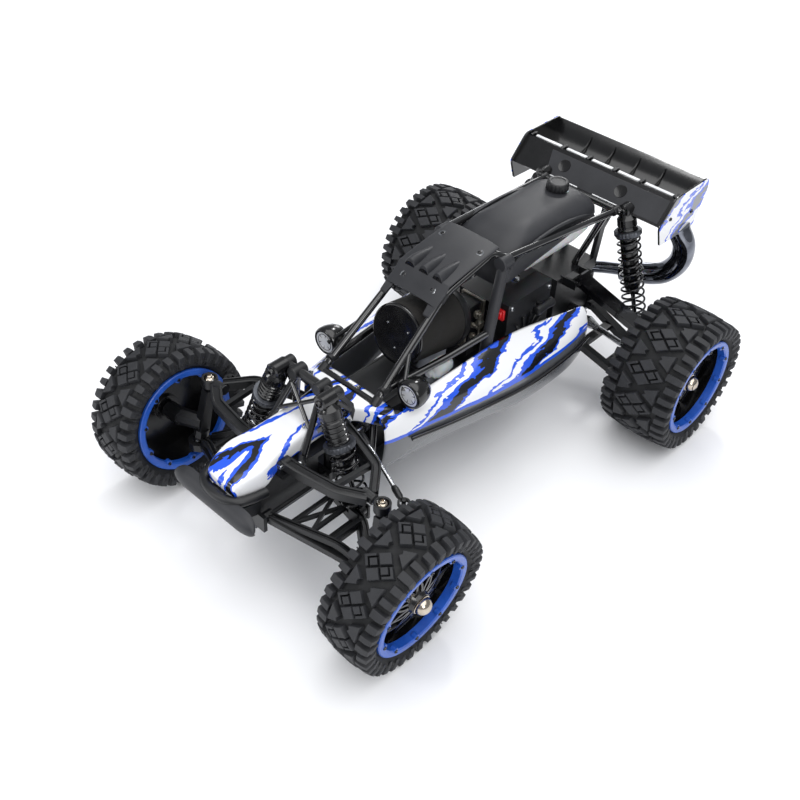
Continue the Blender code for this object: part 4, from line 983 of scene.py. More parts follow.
@dataclass
class Wheel:
    """One wheel: treaded tyre, laced rim, blue clamp rings and domed nut."""

    shop: Shop
    end: str
    side: Side
    centre: tuple[float, float, float]
    half: float
    rim: float
    inset: float
    camber: float
    pitches: int = 12
    tread: float = 92.0
    ring: float = 66.0
    nut_from: float = 27.4

    def __post_init__(self) -> None:
        """Sets the wheel's own directions."""
        sign, tilt = self.side.value, math.radians(self.camber)
        self.out = Vector((0, sign * math.cos(tilt), -math.sin(tilt)))
        self.ahead = Vector((1, 0, 0))
        self.up = Vector((0, sign * math.sin(tilt), math.cos(tilt)))
        self.hub = Vector((self.centre[0], self.centre[1] * sign, self.centre[2]))
        self.body = f"{self.end}_wheel_{self.side.word}"
        self.tag = f"{self.end}_{self.side.word}"

    def spot(self, turn: float, radius: float, across: float) -> Vector:
        """A point of the wheel from its angle, radius and place along the axle."""
        arm = self.ahead * math.cos(turn) + self.up * math.sin(turn)
        return self.hub + arm * radius + self.out * across

    def turned(self, solid: Solid, profile: Sequence[tuple[float, float]], sides: int = 72,
               cyclic: bool = True) -> Solid:
        """Adds a profile of (across, radius) turned about the axle."""
        loops = [[self.spot(TURN * k / sides, r, w) for k in range(sides)] for w, r in profile]
        return solid.rings(loops, cyclic=cyclic, caps=not cyclic)

    def carcass(self, across: float) -> float:
        """The carcass radius under the tread at a place across the tyre."""
        share = min(abs(across) / self.half, 1.0)
        return 85.4 - 8.0 * share ** 3.2

    def stud(self, solid: Solid, outline: Sequence[tuple[float, float]], pitch: float) -> None:
        """Adds one tread block.

        Args:
            solid: the tread so far.
            outline: the block's edge, as (round the tyre, across it) in millimetres.
            pitch: the angle of its middle round the tyre, in radians.
        """
        middle = [sum(c) / len(outline) for c in zip(*outline)]
        loops = []
        for drop, grow in ((-1.2, 1.06), (5.6, 1.0), (6.5, 0.9)):
            loop = []
            for round_, across in outline:
                s = middle[0] + (round_ - middle[0]) * grow
                t = middle[1] + (across - middle[1]) * grow
                r = min(self.carcass(t) + drop, self.tread - 0.1)
                loop.append(self.spot(pitch + s / self.tread, r, t))
            loops.append(loop)
        solid.rings(loops)

    def lug(self, solid: Solid, turn: float, sign: int, wide: float, deep: float) -> None:
        """Adds one shoulder lug, which wraps from the tread down the side wall.

        Args:
            solid: the tread so far.
            turn: its angle round the tyre, in radians.
            sign: 1 for the outer shoulder and -1 for the inner.
            wide: its width on the tread.
            deep: the radius down to which it reaches.
        """
        h = self.half
        start = 0.6 if wide < 9 else 0.66 if wide < 10 else 0.56
        low = [(start, 83.2), (0.78, 81.0), (0.95, 76.5), (0.97, 74.0), (0.93, deep)]
        top = [(start + 0.01, 89.9), (0.82, 89.2), (0.985, 87.2), (1.0, 79.5), (0.95, deep - 0.4)]
        width = [wide, wide, wide * 0.9, wide * 0.66, wide * 0.5]
        loops = []
        for (wl, rl), (wt, rt), size in zip(low, top, width):
            loops.append([self.spot(turn + q * size / 2 / r, r, w * h * sign)
                          for q, r, w in ((-1, rl, wl), (-0.86, rt, wt), (0.86, rt, wt), (1, rl, wl))])
        solid.rings(loops)

    def build(self) -> None:
        """Makes the tyre, rim, rings and nut."""
        self._tyre()
        self._rim()
        self._rings()

    def _tyre(self) -> None:
        """The carcass, the tread's diamonds and triangles, shoulder lugs and side ribs."""
        solid, h, b = Solid(), self.half, self.rim / 2 - 4.3
        outer = [(b, 60.3), (b + 1.2, 64), (b + 3.0, 67.5), (h - 3.4, 71.5), (h - 1.2, 75.5),
                 (h * 0.93, 78.8), (h * 0.8, 81.5), (h * 0.58, 84.0), (h * 0.3, 85.2), (0, 85.4)]
        mirror = [(-w, r) for w, r in reversed(outer[:-1])]
        self.turned(solid, [*outer, *mirror], 96)
        # The carcass takes the darker groove rubber: painted shade in the grooves and on the side
        # walls.
        self.shop.piece(f"tyre_carcass_{self.tag}", solid, TYRE_PAINTED_SHADE, self.body, Slot.RUBBER)
        solid = Solid()
        step, zone = TURN / self.pitches, 0.6 * h
        spread = zone * 0.93 / 18.4
        cells = [[(-13, 1), (-1, 1), (-1, 13), (-13, 13)], [(1, -13), (13, -13), (13, -1), (1, -1)],
                 [(1, 1.2), (8.4, 1.2), (8.4, 8.6), (1, 8.6)],
                 [(-8.4, -8.6), (-1, -8.6), (-1, -1.2), (-8.4, -1.2)],
                 [(10.2, 1.2), (13, 1.2), (13, 13), (1, 13), (1, 10.4), (10.2, 10.4)],
                 [(-13, -13), (-1, -13), (-1, -10.4), (-10.2, -10.4), (-10.2, -1.2), (-13, -1.2)]]
        fold = math.sqrt(0.5)
        for i in range(self.pitches):
            here = i * step
            for cell in cells:
                self.stud(solid, [((x - y) * fold, (x + y) * fold * spread) for x, y in cell], here)
            for sign in (-1, 1):
                wing = [(-11.5, 0.9), (11.5, 0.9), (3.5, 0.32), (0, 0.42), (-3.5, 0.32)]
                self.stud(solid, [(s, t * zone * sign) for s, t in wing], here + step / 2)
                for j, (wide, deep) in enumerate(((10.4, 70.8), (8.4, 73.4), (9.4, 71.6))):
                    self.lug(solid, here + step * (j + 0.5) / 3, sign, wide, deep)
        self.shop.piece(f"treaded_tyre_{self.tag}", solid, TYRE, self.body, Slot.RUBBER,
                        bevel=0.35, replaces=[f"tyre_{self.tag}"], sharp=40)
        ribs = Solid()
        for i in range(self.pitches * 4):
            for sign in (-1, 1):
                low, high = (h - 3.0, 72.2), (h * 0.94, 80.0)
                loops = []
                for w, r in (low, ((low[0] + high[0]) / 2 + 0.9, 76.3), high):
                    loops.append([self.spot(TURN * i / (self.pitches * 4) + q * 0.7 / r, r + up,
                                            sign * (w + o)) for q, up, o in
                                  ((-1, 0, -1.6), (-1, 0.3, 0.9), (1, 0.3, 0.9), (1, 0, -1.6))])
                ribs.rings(loops)
        self.shop.piece(f"tyre_side_ribs_{self.tag}", ribs, TYRE, self.body, Slot.RUBBER)

    def _rim(self) -> None:
        """The barrel, its two families of crossing spokes, and the hub."""
        e, disc = self.rim / 2, self.rim / 2 - self.inset
        solid = Solid()
        self.turned(solid, [(e - 0.6, 64.5), (e - 0.2, 62), (e - 3, 57.6), (disc - 3, 56.4),
                            (-e + 3, 57.6), (-e + 0.2, 62), (-e + 0.6, 64.5), (-e + 3.4, 64.8),
                            (-e + 5, 60.2), (e - 5, 60.2), (e - 3.4, 64.8)])
        lace = Solid()
        for i in range(10):
            base = TURN * i / 10
            for lean in (-1, 1):
                path = [self.spot(base + lean * a, r, disc + lift) for a, r, lift in
                        ((0.05, 12, 8.0), (0.16, 24, 6.4), (0.38, 38, 3.2), (0.56, 49, 0.6),
                         (0.64, 57.5, -1.0))]
                path = smooth_curve(path, 3)
                lace.sweep(path, [(-2.2, -3), (2.2, -3), (1.6, 2.2), (-1.6, 2.2)], self.out)
        self.turned(lace, [(disc - 9, 12), (disc - 9, 16.5), (disc + 6, 16.5), (disc + 8.4, 14.5),
                           (self.nut_from, 12.4), (self.nut_from, 0.2)], 36, cyclic=False)
        self.turned(solid, [(disc - 5.2, 12), (disc - 3.6, 12), (disc - 4.6, 57.2), (disc - 6.2, 57.2)])
        self.shop.piece(f"spoke_lattice_{self.tag}", lace, NYLON_GLOSS, self.body, Slot.NYLON,
                        bevel=0.3)
        self.shop.piece(f"laced_rim_{self.tag}", solid, NYLON_GLOSS, self.body, Slot.NYLON,
                        bevel=0.3, replaces=[f"rim_{self.tag}"])

    def _rings(self) -> None:
        """The blue clamp rings, their screws, and the wheel nut."""
        e, ring = self.rim / 2, Solid()
        for sign, wall in ((1, 9.5), (-1, 5.0)):
            rim_line = [(e + 0.2, self.ring), (e + 1.4, self.ring - 0.6), (e + 1.6, 61.0),
                        (e + 0.4, 59.4), (e - wall * 0.5, 58.6), (e - wall, 57.8), (e - wall, 57.2),
                        (e - wall + 0.6, 56.6), (e + 0.6, 57.4), (e + 2.0, 59.4), (e + 2.2, 65.0),
                        (e + 1.2, self.ring + 0.1), (e - 1.6, self.ring + 0.1), (e - 1.6, 64.0)]
            self.turned(ring, [(sign * w, r) for w, r in rim_line], 96)
        bosses, screws = Solid(), Solid()
        for i in range(10):
            turn = TURN * (i + 0.5) / 10
            for sign in (1, -1):
                at = self.spot(turn, 58.2, sign * (e - 1.2))
                bosses.lathe([(-3, 4.2), (2.2, 4.0), (2.8, 3.4)], at, self.out * sign, 16)
                screws.screw(self.spot(turn, 58.4, sign * (e + 1.7)), self.out * sign, 2.3)
        self.shop.piece(f"clamp_rings_{self.tag}", ring.join(bosses), BLUE_RING, self.body,
                        Slot.NYLON, sharp=30)
        self.shop.piece(f"ring_screws_{self.tag}", screws, NYLON_GLOSS, self.body, Slot.STEEL)
        nut, foot = Solid(), self.nut_from
        dome = [(foot - 1.0, 11.6), (foot + 1.4, 11.6), (foot + 1.8, 10.6)]
        dome += [(foot + 2.0 + 10.4 * math.sin(a), 10.6 * math.cos(a)) for a in
                 (0.15, 0.35, 0.55, 0.75, 0.95, 1.15, 1.35, 1.48, 1.56)]
        self.turned(nut, dome, 32, cyclic=False)
        self.shop.piece(f"domed_nut_{self.tag}", nut, NICKEL, self.body, Slot.STEEL, sharp=50)


# --------------------------------------------------------------------------- bodywork


@dataclass
class Bodywork:
    """The bonnet and two side pods, vacuum formed and painted inside."""

    shop: Shop
    wall: float = 1.8

    bonnet_line = ((330, 18, 164, 151), (328, 21, 167, 150), (322, 24, 170, 149),
                   (304, 29, 173, 148), (290, 30.5, 176, 149), (277, 24, 178, 158),
                   (226, 22.5, 180.5, 160), (172, 23, 182, 163), (162, 35, 182.5, 164),
                   (150, 52, 181, 160), (130, 62, 178, 146))
    pod_line = {
        150: ((49, 176), (62, 169), (66, 138), (60, 95)),
        117: ((52, 172), (70, 166), (75, 134), (66, 95)),
        60: ((58, 176), (82, 166), (86, 130), (74, 95)),
        0: ((64, 184), (92, 164), (96, 128), (86, 95)),
        -67: ((68, 186), (99, 154), (104, 126), (100, 95)),
        -150: ((78, 176), (99, 152), (103, 126), (101, 95)),
        -198: ((84, 170), (95, 150), (96, 126), (92, 95))}

    def build(self) -> None:
        """Makes the bonnet with its clip, the pods and their side tubes."""
        rows = []
        for x, half, top, skirt in self.bonnet_line:
            shape = [(1.0, 0.0), (1.0, 0.5), (0.99, 0.84), (0.94, 0.95), (0.88, 0.985), (0.45, 1.0),
                     (0.0, 1.01)]
            left = [(x, half * a, skirt + (top - skirt) * b) for a, b in shape]
            rows.append(left + [(px, -py, pz) for px, py, pz in reversed(left[:-1])])
        solid = open_skin(rows)
        solid.faces.append(tuple(range(len(rows[0]) - 1, -1, -1)))
        self.shop.piece("painted_bonnet", solid, BONNET_PAINT, "chassis", Slot.LEXAN,
                        replaces=["body_shell"], thicken=self.wall, subdivide=1, sharp=50)
        for side in Side:
            xs = sorted(self.pod_line, reverse=True)
            curves = [smooth_curve([(x, *self.pod_line[x][k]) for x in xs], 4) for k in range(4)]
            rows = []
            for a, b, c, d in zip(*curves):
                outline = [a, a.lerp(b, 0.5) + Vector((0, 1.2, 1.6)),
                           b, b.lerp(c, 0.3) + Vector((0, 0.8, 0)),
                           b.lerp(c, 0.75) + Vector((0, 0.6, 0)),
                           c, c.lerp(d, 0.5) + Vector((0, 1, 0)), d]
                rows.append(flip(outline, side.value))
            pod = open_skin(rows)
            self.shop.piece(f"painted_pod_{side.word}", pod, BODY_PAINT, "chassis", Slot.LEXAN,
                            thicken=self.wall, subdivide=1, sharp=50)
            line = flip([(x, self.pod_line[x][2][0] + 2.6, self.pod_line[x][2][1] + 1.0)
                         for x in xs[1:]], side.value)
            rail = Solid().tube(smooth_curve(line, 5), 2.6, 14)
            self.shop.piece(f"side_tube_{side.word}", rail, TUBE, "chassis", Slot.STEEL)
            if side is Side.LEFT:
                loop = [(x, 17.5, z) for x, z in circle(225, 186, 4.6, 18)]
                pin = Solid().tube(loop, 0.7, 8, cyclic=True)
                pin.rod((225, 17.5, 178), (225, 17.5, 184), 1.6)
                self.shop.piece("body_clip", pin, ZINC, "chassis", Slot.STEEL)


@dataclass
class Cage:
    """The steel tube cage with its two thick moulded side pillars."""

    shop: Shop
    tube: float = 4.5
    pillar: float = 7.0

    def build(self) -> None:
        """Bends the rails, bars and struts, and sets the pillars and joints."""
        solid, pillars, sleeves = Solid(), Solid(), Solid()
        for side in Side:
            s = side.value
            rail = flip([(143, 40, 92.3), (143, 42, 181), (27, 34, 268), (-56, 35, 288),
                         (-66, 46, 281), (-279, 58, 264)], s)
            solid.tube(rounded(rail, 14), self.tube)
            solid.tube(rounded(flip([(130, 41, 191), (40, 50, 191), (-34, 58, 197)], s), 12), self.tube)
            solid.tube(flip([(-279, 48, 264), (-264, 20, 172.3)], s), self.tube)
            solid.tube(flip([(117, 60, 196), (88, 40.5, 222)], s), 2.6, 12)
            pillars.tube(rounded(flip([(-66, 46, 281), (-34, 58, 200), (-30, 53, 104),
                                       (-30, 53, 92)], s), 12), self.pillar, 24)
            pillars.lathe([(-9, 8.2), (-8, 9), (8, 9), (9, 8.2)], flip([(-64, 46.5, 277)], s)[0],
                          (1, 0, 0), 24)
            for at, along in (((141, 42, 183), (-0.8, -0.05, 0.6)), ((30, 34.2, 266), (-0.8, 0, 0.6)),
                              ((-277, 57.8, 264.2), (-1, 0, 0)), ((128, 41.3, 191), (-1, 0, 0))):
                spot, way = flip([at, along], s)
                way.normalize()
                sleeves.rod(spot - way * 6, spot + way * 6, self.tube + 1.2)
            sleeves.rod(*flip([(-279, 58, 264), (-299, 67, 264)], s), 5.2)
        for x, z, half in ((143, 181, 42), (27, 268, 34), (-56, 288, 35), (-279, 264, 66)):
            solid.tube([(x, -half, z), (x, half, z)], self.tube)
        self.shop.piece("bent_cage_tubes", solid, TUBE, "chassis", Slot.STEEL, replaces=["roll_cage"])
        self.shop.piece("side_pillars", pillars, ABS_MATT, "chassis", Slot.NYLON)
        self.shop.piece("cage_joint_sleeves", sleeves, NYLON, "chassis", Slot.NYLON)


@dataclass
class RoofPanel:
    """The folded roof panel with three scoops and four ringed screws."""

    shop: Shop
    half: float = 38.0
    thick: float = 2.6

    def build(self) -> None:
        """Folds the sheet, raises the scoops and sets the screws."""
        line = [(45, 261.6), (29, 272.6), (23, 280.4), (-8, 286.6), (-62, 294.4)]
        rows = []
        for x, z in line:
            rows.append([(x, y * self.half, z - 2.6 * abs(y) ** 6) for y in
                         (1, 0.93, 0.6, 0.25, 0, -0.25, -0.6, -0.93, -1)])
        solid = open_skin(rows)
        self.shop.piece("folded_roof_sheet", solid, ABS_MATT, "chassis", Slot.NYLON, bevel=0.5,
                        replaces=["roof_panel"], thicken=self.thick, sharp=18)
        legs = Solid()
        for side in Side:
            legs.rings([[(x, y * side.value, z + lift) for y, lift in
                         ((y0, 0), (y1, 0), (y1, self.thick), (y0, self.thick))]
                        for x, z, y0, y1 in ((46, 259.2, 27, 38), (56, 251.6, 29, 37.5))])
        self.shop.piece("roof_front_legs", legs, ABS_MATT, "chassis", Slot.NYLON, bevel=0.5)
        scoops, mouth_shade_discs = Solid(), Solid()
        for y in (-21.0, 0.0, 21.0):
            loops = []
            for x, z, wide, high in ((25.5, 273.5, 8.6, 16.5), (18, 277.5, 8.4, 14.0),
                                     (4, 281.5, 7.4, 9.4), (-12, 285.2, 5.4, 4.6),
                                     (-26, 287.6, 3.2, 1.2)):
                arch = [(x, y + wide * math.cos(a), z + high * math.sin(a)) for a in
                        [math.pi * k / 12 for k in range(13)]]
                loops.append([*arch, (x, y - wide, z - 1.5), (x, y + wide, z - 1.5)])
            scoops.rings(loops)
            # A thin near-black disc over each scoop's front: painted shade standing for the dark hollow
            # of its mouth.
            mouth = [(25.9, y + 7.0 * math.cos(TURN * k / 20), 280.0 + 5.6 * math.sin(TURN * k / 20))
                     for k in range(20)]
            deep = [(25.3, p[1], p[2]) for p in mouth]
            mouth_shade_discs.rings([deep, mouth])
        self.shop.piece("roof_scoops", scoops, ABS_MATT, "chassis", Slot.NYLON, bevel=0.6, sharp=40)
        self.shop.piece("scoop_mouth_painted_shade", mouth_shade_discs, NYLON_GLOSS, "chassis", Slot.NYLON)
        screws, rings = Solid(), Solid()
        for x, y, z, way in ((33, 21.5, 270.6, (0.57, 0, 0.82)), (-39, 28, 291.4, (0.14, 0, 0.99))):
            for s in (1, -1):
                rings.lathe([(-1, 5.2), (1.2, 5.2), (1.7, 4.7), (1.7, 3.6), (0.6, 3.4)],
                            (x, y * s, z), way, 28)
                screws.screw((x, y * s, z + 0.4), way, 2.7)
        self.shop.piece("roof_washers", rings, ZINC, "chassis", Slot.STEEL)
        self.shop.piece("roof_screws", screws, NYLON_GLOSS, "chassis", Slot.STEEL)


@dataclass
class Lamp:
    """A round driving lamp on an arm."""

    shop: Shop
    side: Side

    def build(self) -> None:
        """Makes the shell, reflector, bars and arm."""
        s, word = self.side.value, self.side.word
        face = Vector((117, 67 * s, 192))
        way = Vector((-1, 0, 0))
        shell = Solid().lathe([(1.8, 13.2), (0.0, 13.6), (-0.4, 15.0), (0.8, 16.8), (4, 17.8),
                               (11, 17.6), (20, 15.4), (26, 11.8), (29.5, 7.0), (30, 2.0)],
                              face, way, 40)
        arm_line = [face + Vector((-18, -10 * s, 0)), face + Vector((-18, -24 * s, -1))]
        shell.tube(rounded(arm_line, 2), 3.4)
        self.shop.piece(f"lamp_shell_{word}", shell, NYLON_GLOSS, "chassis", Slot.NYLON,
                        replaces=[f"lamp_{word}"], sharp=50)
        # The reflector's diffuse near-white is painted reflection.
        dish = Solid().lathe([(0.9, 13.4), (1.4, 12.8), (3.2, 8.0), (4.0, 4.4), (3.9, 0.2)],
                             face, way, 40)
        self.shop.piece(f"lamp_reflector_{word}", dish, PAINTED_REFLECTION_WHITE, "chassis", Slot.STEEL, sharp=60)
        bars = Solid()
        for k in range(6):
            turn = TURN * k / 6 + 0.4
            arm = Vector((0, math.cos(turn), math.sin(turn)))
            bars.rod(face + arm * 5.0 + way * 1.6, face + arm * 10.4 + way * 1.2, 0.7, 8)
        bars.lathe([(0.9, 10.9), (0.5, 10.6), (0.5, 10.2), (1.4, 10.0)], face, way, 40, cyclic=True)
        self.shop.piece(f"lamp_bars_{word}", bars, NYLON_GLOSS, "chassis", Slot.NYLON)


@dataclass
class AirFilter:
    """The big foam drum behind the windscreen opening."""

    shop: Shop
    radius: float = 38.0
    length: float = 104.0

    def build(self) -> None:
        """Makes the foam, its smooth end cap, the rear band and the neck."""
        front, axis = Vector((66, 0, 214)), Vector((-92, 0, -17)).normalized()
        r, n = self.radius, self.length
        foam = Solid().lathe([(2.4, r - 2.4), (2.6, r - 1), (6, r - 0.2), (30, r), (60, r + 0.1),
                              (76, r - 0.1), (81, r - 0.8), (81.4, r - 3)], front, axis, 64)
        self.shop.piece("foam_drum", foam, FOAM, "chassis", Slot.FOAM, replaces=["air_filter"])
        cap = Solid().lathe([(1.4, 0.2), (1.1, 10), (1.0, r - 6), (0.2, r - 4.6), (0.0, r - 2.2),
                             (0.8, r - 0.5), (2.6, r - 0.2), (3.4, r - 1.6), (3.4, r - 6)],
                            front, axis, 64)
        self.shop.piece("filter_end_cap", cap, NYLON_GLOSS, "chassis", Slot.NYLON)
        back = Solid().lathe([(80.4, r - 4), (80.6, r), (82, r + 0.3), (90, r + 0.3), (92, r - 0.8),
                              (94, r - 4), (95, 21), (97, 20.4), (n, 20)], front, axis, 64)
        self.shop.piece("filter_band", back, NYLON, "chassis", Slot.NYLON)
        screws = Solid()
        u, v, w = basis(axis)
        for k in range(3):
            turn = TURN * k / 3 + 0.5
            screws.screw(front + (u * math.cos(turn) + v * math.sin(turn)) * 18 + w * 1.0, -w, 1.5)
        self.shop.piece("filter_cap_screws", screws, ZINC, "chassis", Slot.STEEL)


@dataclass
class RadioBox:
    """The radio box's lid, its screws and the oil bottle beside it."""

    shop: Shop

    def build(self) -> None:
        """Dresses the CAD box with a grained lid and sets the bottle beside it."""
        lid = Solid()
        lid.rings([[(x, y, z) for x, y in ((88 + 48 * k, 32 * k), (88 - 48 * k, 32 * k),
                                           (88 - 48 * k, -32 * k), (88 + 48 * k, -32 * k))]
                   for z, k in ((156.6, 1.0), (159.0, 1.0), (159.8, 0.97), (159.8, 0.9),
                                (158.8, 0.88))])
        self.shop.piece("grained_box_lid", lid, NYLON, "chassis", Slot.NYLON, bevel=0.5)
        screws = Solid()
        for x in (48, 128):
            for y in (-24, 24):
                screws.screw((x, y, 159.0), (0, 0, 1), 2.4)
        self.shop.piece("box_lid_screws", screws, NYLON_GLOSS, "chassis", Slot.STEEL)
        bottle = Solid()
        centre = Vector((40, 47, 180))
        loops = []
        for along, wide, tall in ((-17, 2, 2), (-15, 8, 8), (-4, 10, 10), (10, 10, 10), (14, 8, 8),
                                  (16, 5, 5), (21, 4.4, 4.4), (21.6, 3.6, 3.6)):
            loops.append([centre + Vector((along, 0, 0)) + Vector((0, wide * a, tall * b)) for a, b in
                          ((1, 0.4), (0.6, 1), (-0.6, 1), (-1, 0.4), (-1, -0.6), (-0.5, -1),
                           (0.5, -1), (1, -0.6))])
        bottle.rings(loops)
        self.shop.piece("oil_bottle", bottle, BOTTLE, "chassis", Slot.TANK, bevel=0.8)


# --------------------------------------------------------------------------- engine end


@dataclass
class Tank:
    """The milky fuel tank under its domed black cover, with the ribbed cap."""

    shop: Shop

    def build(self) -> None:
        """Makes the tank, the cover with its ridges, and the cap."""
        loops = [self._loop(*row) for row in (
            (223, -240, -128, 26, 12), (227, -246, -122, 32, 14), (244, -255, -106, 42, 15),
            (262, -258, -92, 45, 16), (270, -258, -90, 43.5, 16))]
        self.shop.piece("milky_tank", Solid().rings(loops), TANK, "chassis", Slot.TANK,
                        replaces=["fuel_tank"], sharp=60)
        cover = [self._loop(*row) for row in (
            (252, -257, -64, 45.8, 18, -0.13), (256, -261, -62, 46.8, 20, -0.12),
            (267, -261, -66, 46.4, 22, -0.07), (277, -258, -76, 44, 24, -0.03),
            (285, -252, -94, 38, 24), (290.4, -240, -118, 27, 20), (292.2, -222, -150, 14, 12))]
        self.shop.piece("domed_tank_cover", Solid().rings(cover), ABS_MATT, "chassis", Slot.NYLON,
                        sharp=60)
        ridge = Solid()
        for side in Side:
            arc = flip([(-76, 46.5, 262), (-96, 47, 274), (-140, 46, 281), (-190, 46, 280),
                        (-236, 46, 270), (-252, 45, 258)], side.value)
            ridge.sweep(smooth_curve(arc, 6), [(-2.2, -1.6), (2.2, -1.6), (1.7, 1.6), (-1.7, 1.6)])
        self.shop.piece("cover_ridges", ridge, ABS_MATT, "chassis", Slot.NYLON, bevel=0.6)
        self._cap()

    @staticmethod
    def _loop(z: float, back: float, front: float, half: float, corner: float,
              tilt: float = 0.0) -> list[Vector]:
        """Finds a rounded rectangle at one height, or tilted about its middle.

        Args:
            z: the height of its middle.
            back: x of its rear edge.
            front: x of its front edge.
            half: half its width.
            corner: the corners' radius.
            tilt: rise along x, per millimetre.

        Returns:
            The loop's points.
        """
        out = []
        x0, x1, y1 = back + corner, front - corner, half - corner
        for quarter, (cx, cy) in enumerate(((x1, y1), (x0, y1), (x0, -y1), (x1, -y1))):
            for k in range(7):
                a = (quarter + k / 6) * math.pi / 2
                x = cx + corner * math.cos(a)
                lift = tilt * (x - (back + front) / 2)
                out.append(Vector((x, cy + corner * math.sin(a), z + lift)))
        return out

    def _cap(self) -> None:
        """The filler cap with its finger ribs, on its neck."""
        cap, count = Solid(), 72
        loops = []
        for z, r, deep in ((292.2, 13.6, 0.4), (293.2, 14.6, 0.9), (301.4, 14.4, 0.9),
                           (302.8, 13.4, 0.3), (303.6, 11.5, 0), (303.4, 9.5, 0), (302.8, 8.8, 0),
                           (302.8, 0.3, 0)):
            loops.append([(-224 + (r - deep * (k % 4 < 2)) * math.cos(TURN * k / count),
                           (r - deep * (k % 4 < 2)) * math.sin(TURN * k / count), z)
                          for k in range(count)])
        cap.rings(loops)
        self.shop.piece("ribbed_filler_cap", cap, NYLON, "cap", Slot.NYLON, replaces=["fuel_cap"])
        neck = Solid().lathe([(286, 15.4), (290.6, 15.4), (291.2, 14.6), (291.8, 12), (291.8, 0.3)],
                             (-224, 0, 0), (0, 0, 1), 40)
        self.shop.piece("filler_neck", neck, TANK, "chassis", Slot.TANK)


@dataclass
class Engine:
    """What shows of the engine: the housing's grille and screws, castings, grip and stop button."""

    shop: Shop

    def build(self) -> None:
        """Dresses the CAD engine and remakes the grip and the stop button."""
        ribs, screws, cast = Solid(), Solid(), Solid()
        for k in range(14):
            turn = TURN * k / 14
            inner, outer = 14.0, 34.0
            a = Vector((-112 + inner * math.cos(turn), 57.0, 150 + inner * math.sin(turn)))
            b = Vector((-112 + outer * math.cos(turn), 57.0, 150 + outer * math.sin(turn)))
            ribs.rod(a, b, 1.6, 10)
        ribs.lathe([(-1.5, 12), (2.0, 12), (2.8, 10.8), (3.0, 0.3)], (-112, 56, 150), (0, 1, 0), 32)
        for x, z in ((-152, 136), (-78, 136), (-152, 206), (-78, 208)):
            screws.screw((x, 56.2, z), (0, 1, 0), 3.2)
        self.shop.piece("starter_grille", ribs, NYLON, "chassis", Slot.NYLON)
        self.shop.piece("housing_screws", screws, ZINC, "chassis", Slot.STEEL)
        for at, r, n in (((-60, 17, 190), 5.0, 9.0), ((-66, 17, 172), 6.5, 7.0),
                         ((-54, 17, 160), 4.0, 10.0), ((-70, 17, 148), 4.5, 8.0),
                         ((-52, 17, 178), 3.0, 12.0)):
            cast.lathe([(0, r), (n * 0.6, r), (n * 0.7, r * 0.7), (n, r * 0.6)], at, (0.2, 1, 0.1), 20)
            cast.lathe([(n * 0.3, r * 1.3), (n * 0.42, r * 1.3)], at, (0.2, 1, 0.1), 6)
        cast.block((-76, -18, 126), (-72, 18, 202)).block((-48, -15, 142), (-45, 15, 188))
        cast.rod((-66, 20, 150), (-58, 22, 196), 1.3, 10)
        self.shop.piece("carburettor_castings", cast, CAST, "chassis", Slot.STEEL, bevel=0.6)
        grip = Solid().lathe([(0, 4), (1, 5.6), (4, 6.2), (17, 5.2), (30, 6.2), (33, 5.6), (34, 4)],
                             (-147, 68, 193), (1, 0, 0), 24)
        grip.rod((-130, 57, 193), (-130, 67, 193), 3.4)
        self.shop.piece("pull_grip", grip, NYLON, "grip", Slot.NYLON, replaces=["starter_handle"])
        low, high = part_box("kill_switch")
        low, high = [(p - self.shop.site.origin) / MM for p in (low, high)]
        middle, w, h = (low + high) / 2, (high.y - low.y) / 2, (high.z - low.z) / 2
        edge = ((1, 0.8), (0.8, 1), (-0.8, 1), (-1, 0.8), (-1, -0.8), (-0.8, -1), (0.8, -1), (1, -0.8))
        loops = [[(x, middle.y + w * k * a, middle.z + h * k * b) for a, b in edge]
                 for x, k in ((low.x, 1.0), (high.x - 3.4, 1.0), (high.x - 2.6, 0.95),
                              (high.x - 2.6, 0.62), (high.x - 0.6, 0.58), (high.x, 0.5))]
        self.shop.piece("red_stop_button", Solid().rings(loops), RED, "switch", Slot.RED,
                        bevel=0.5, replaces=["kill_switch"])


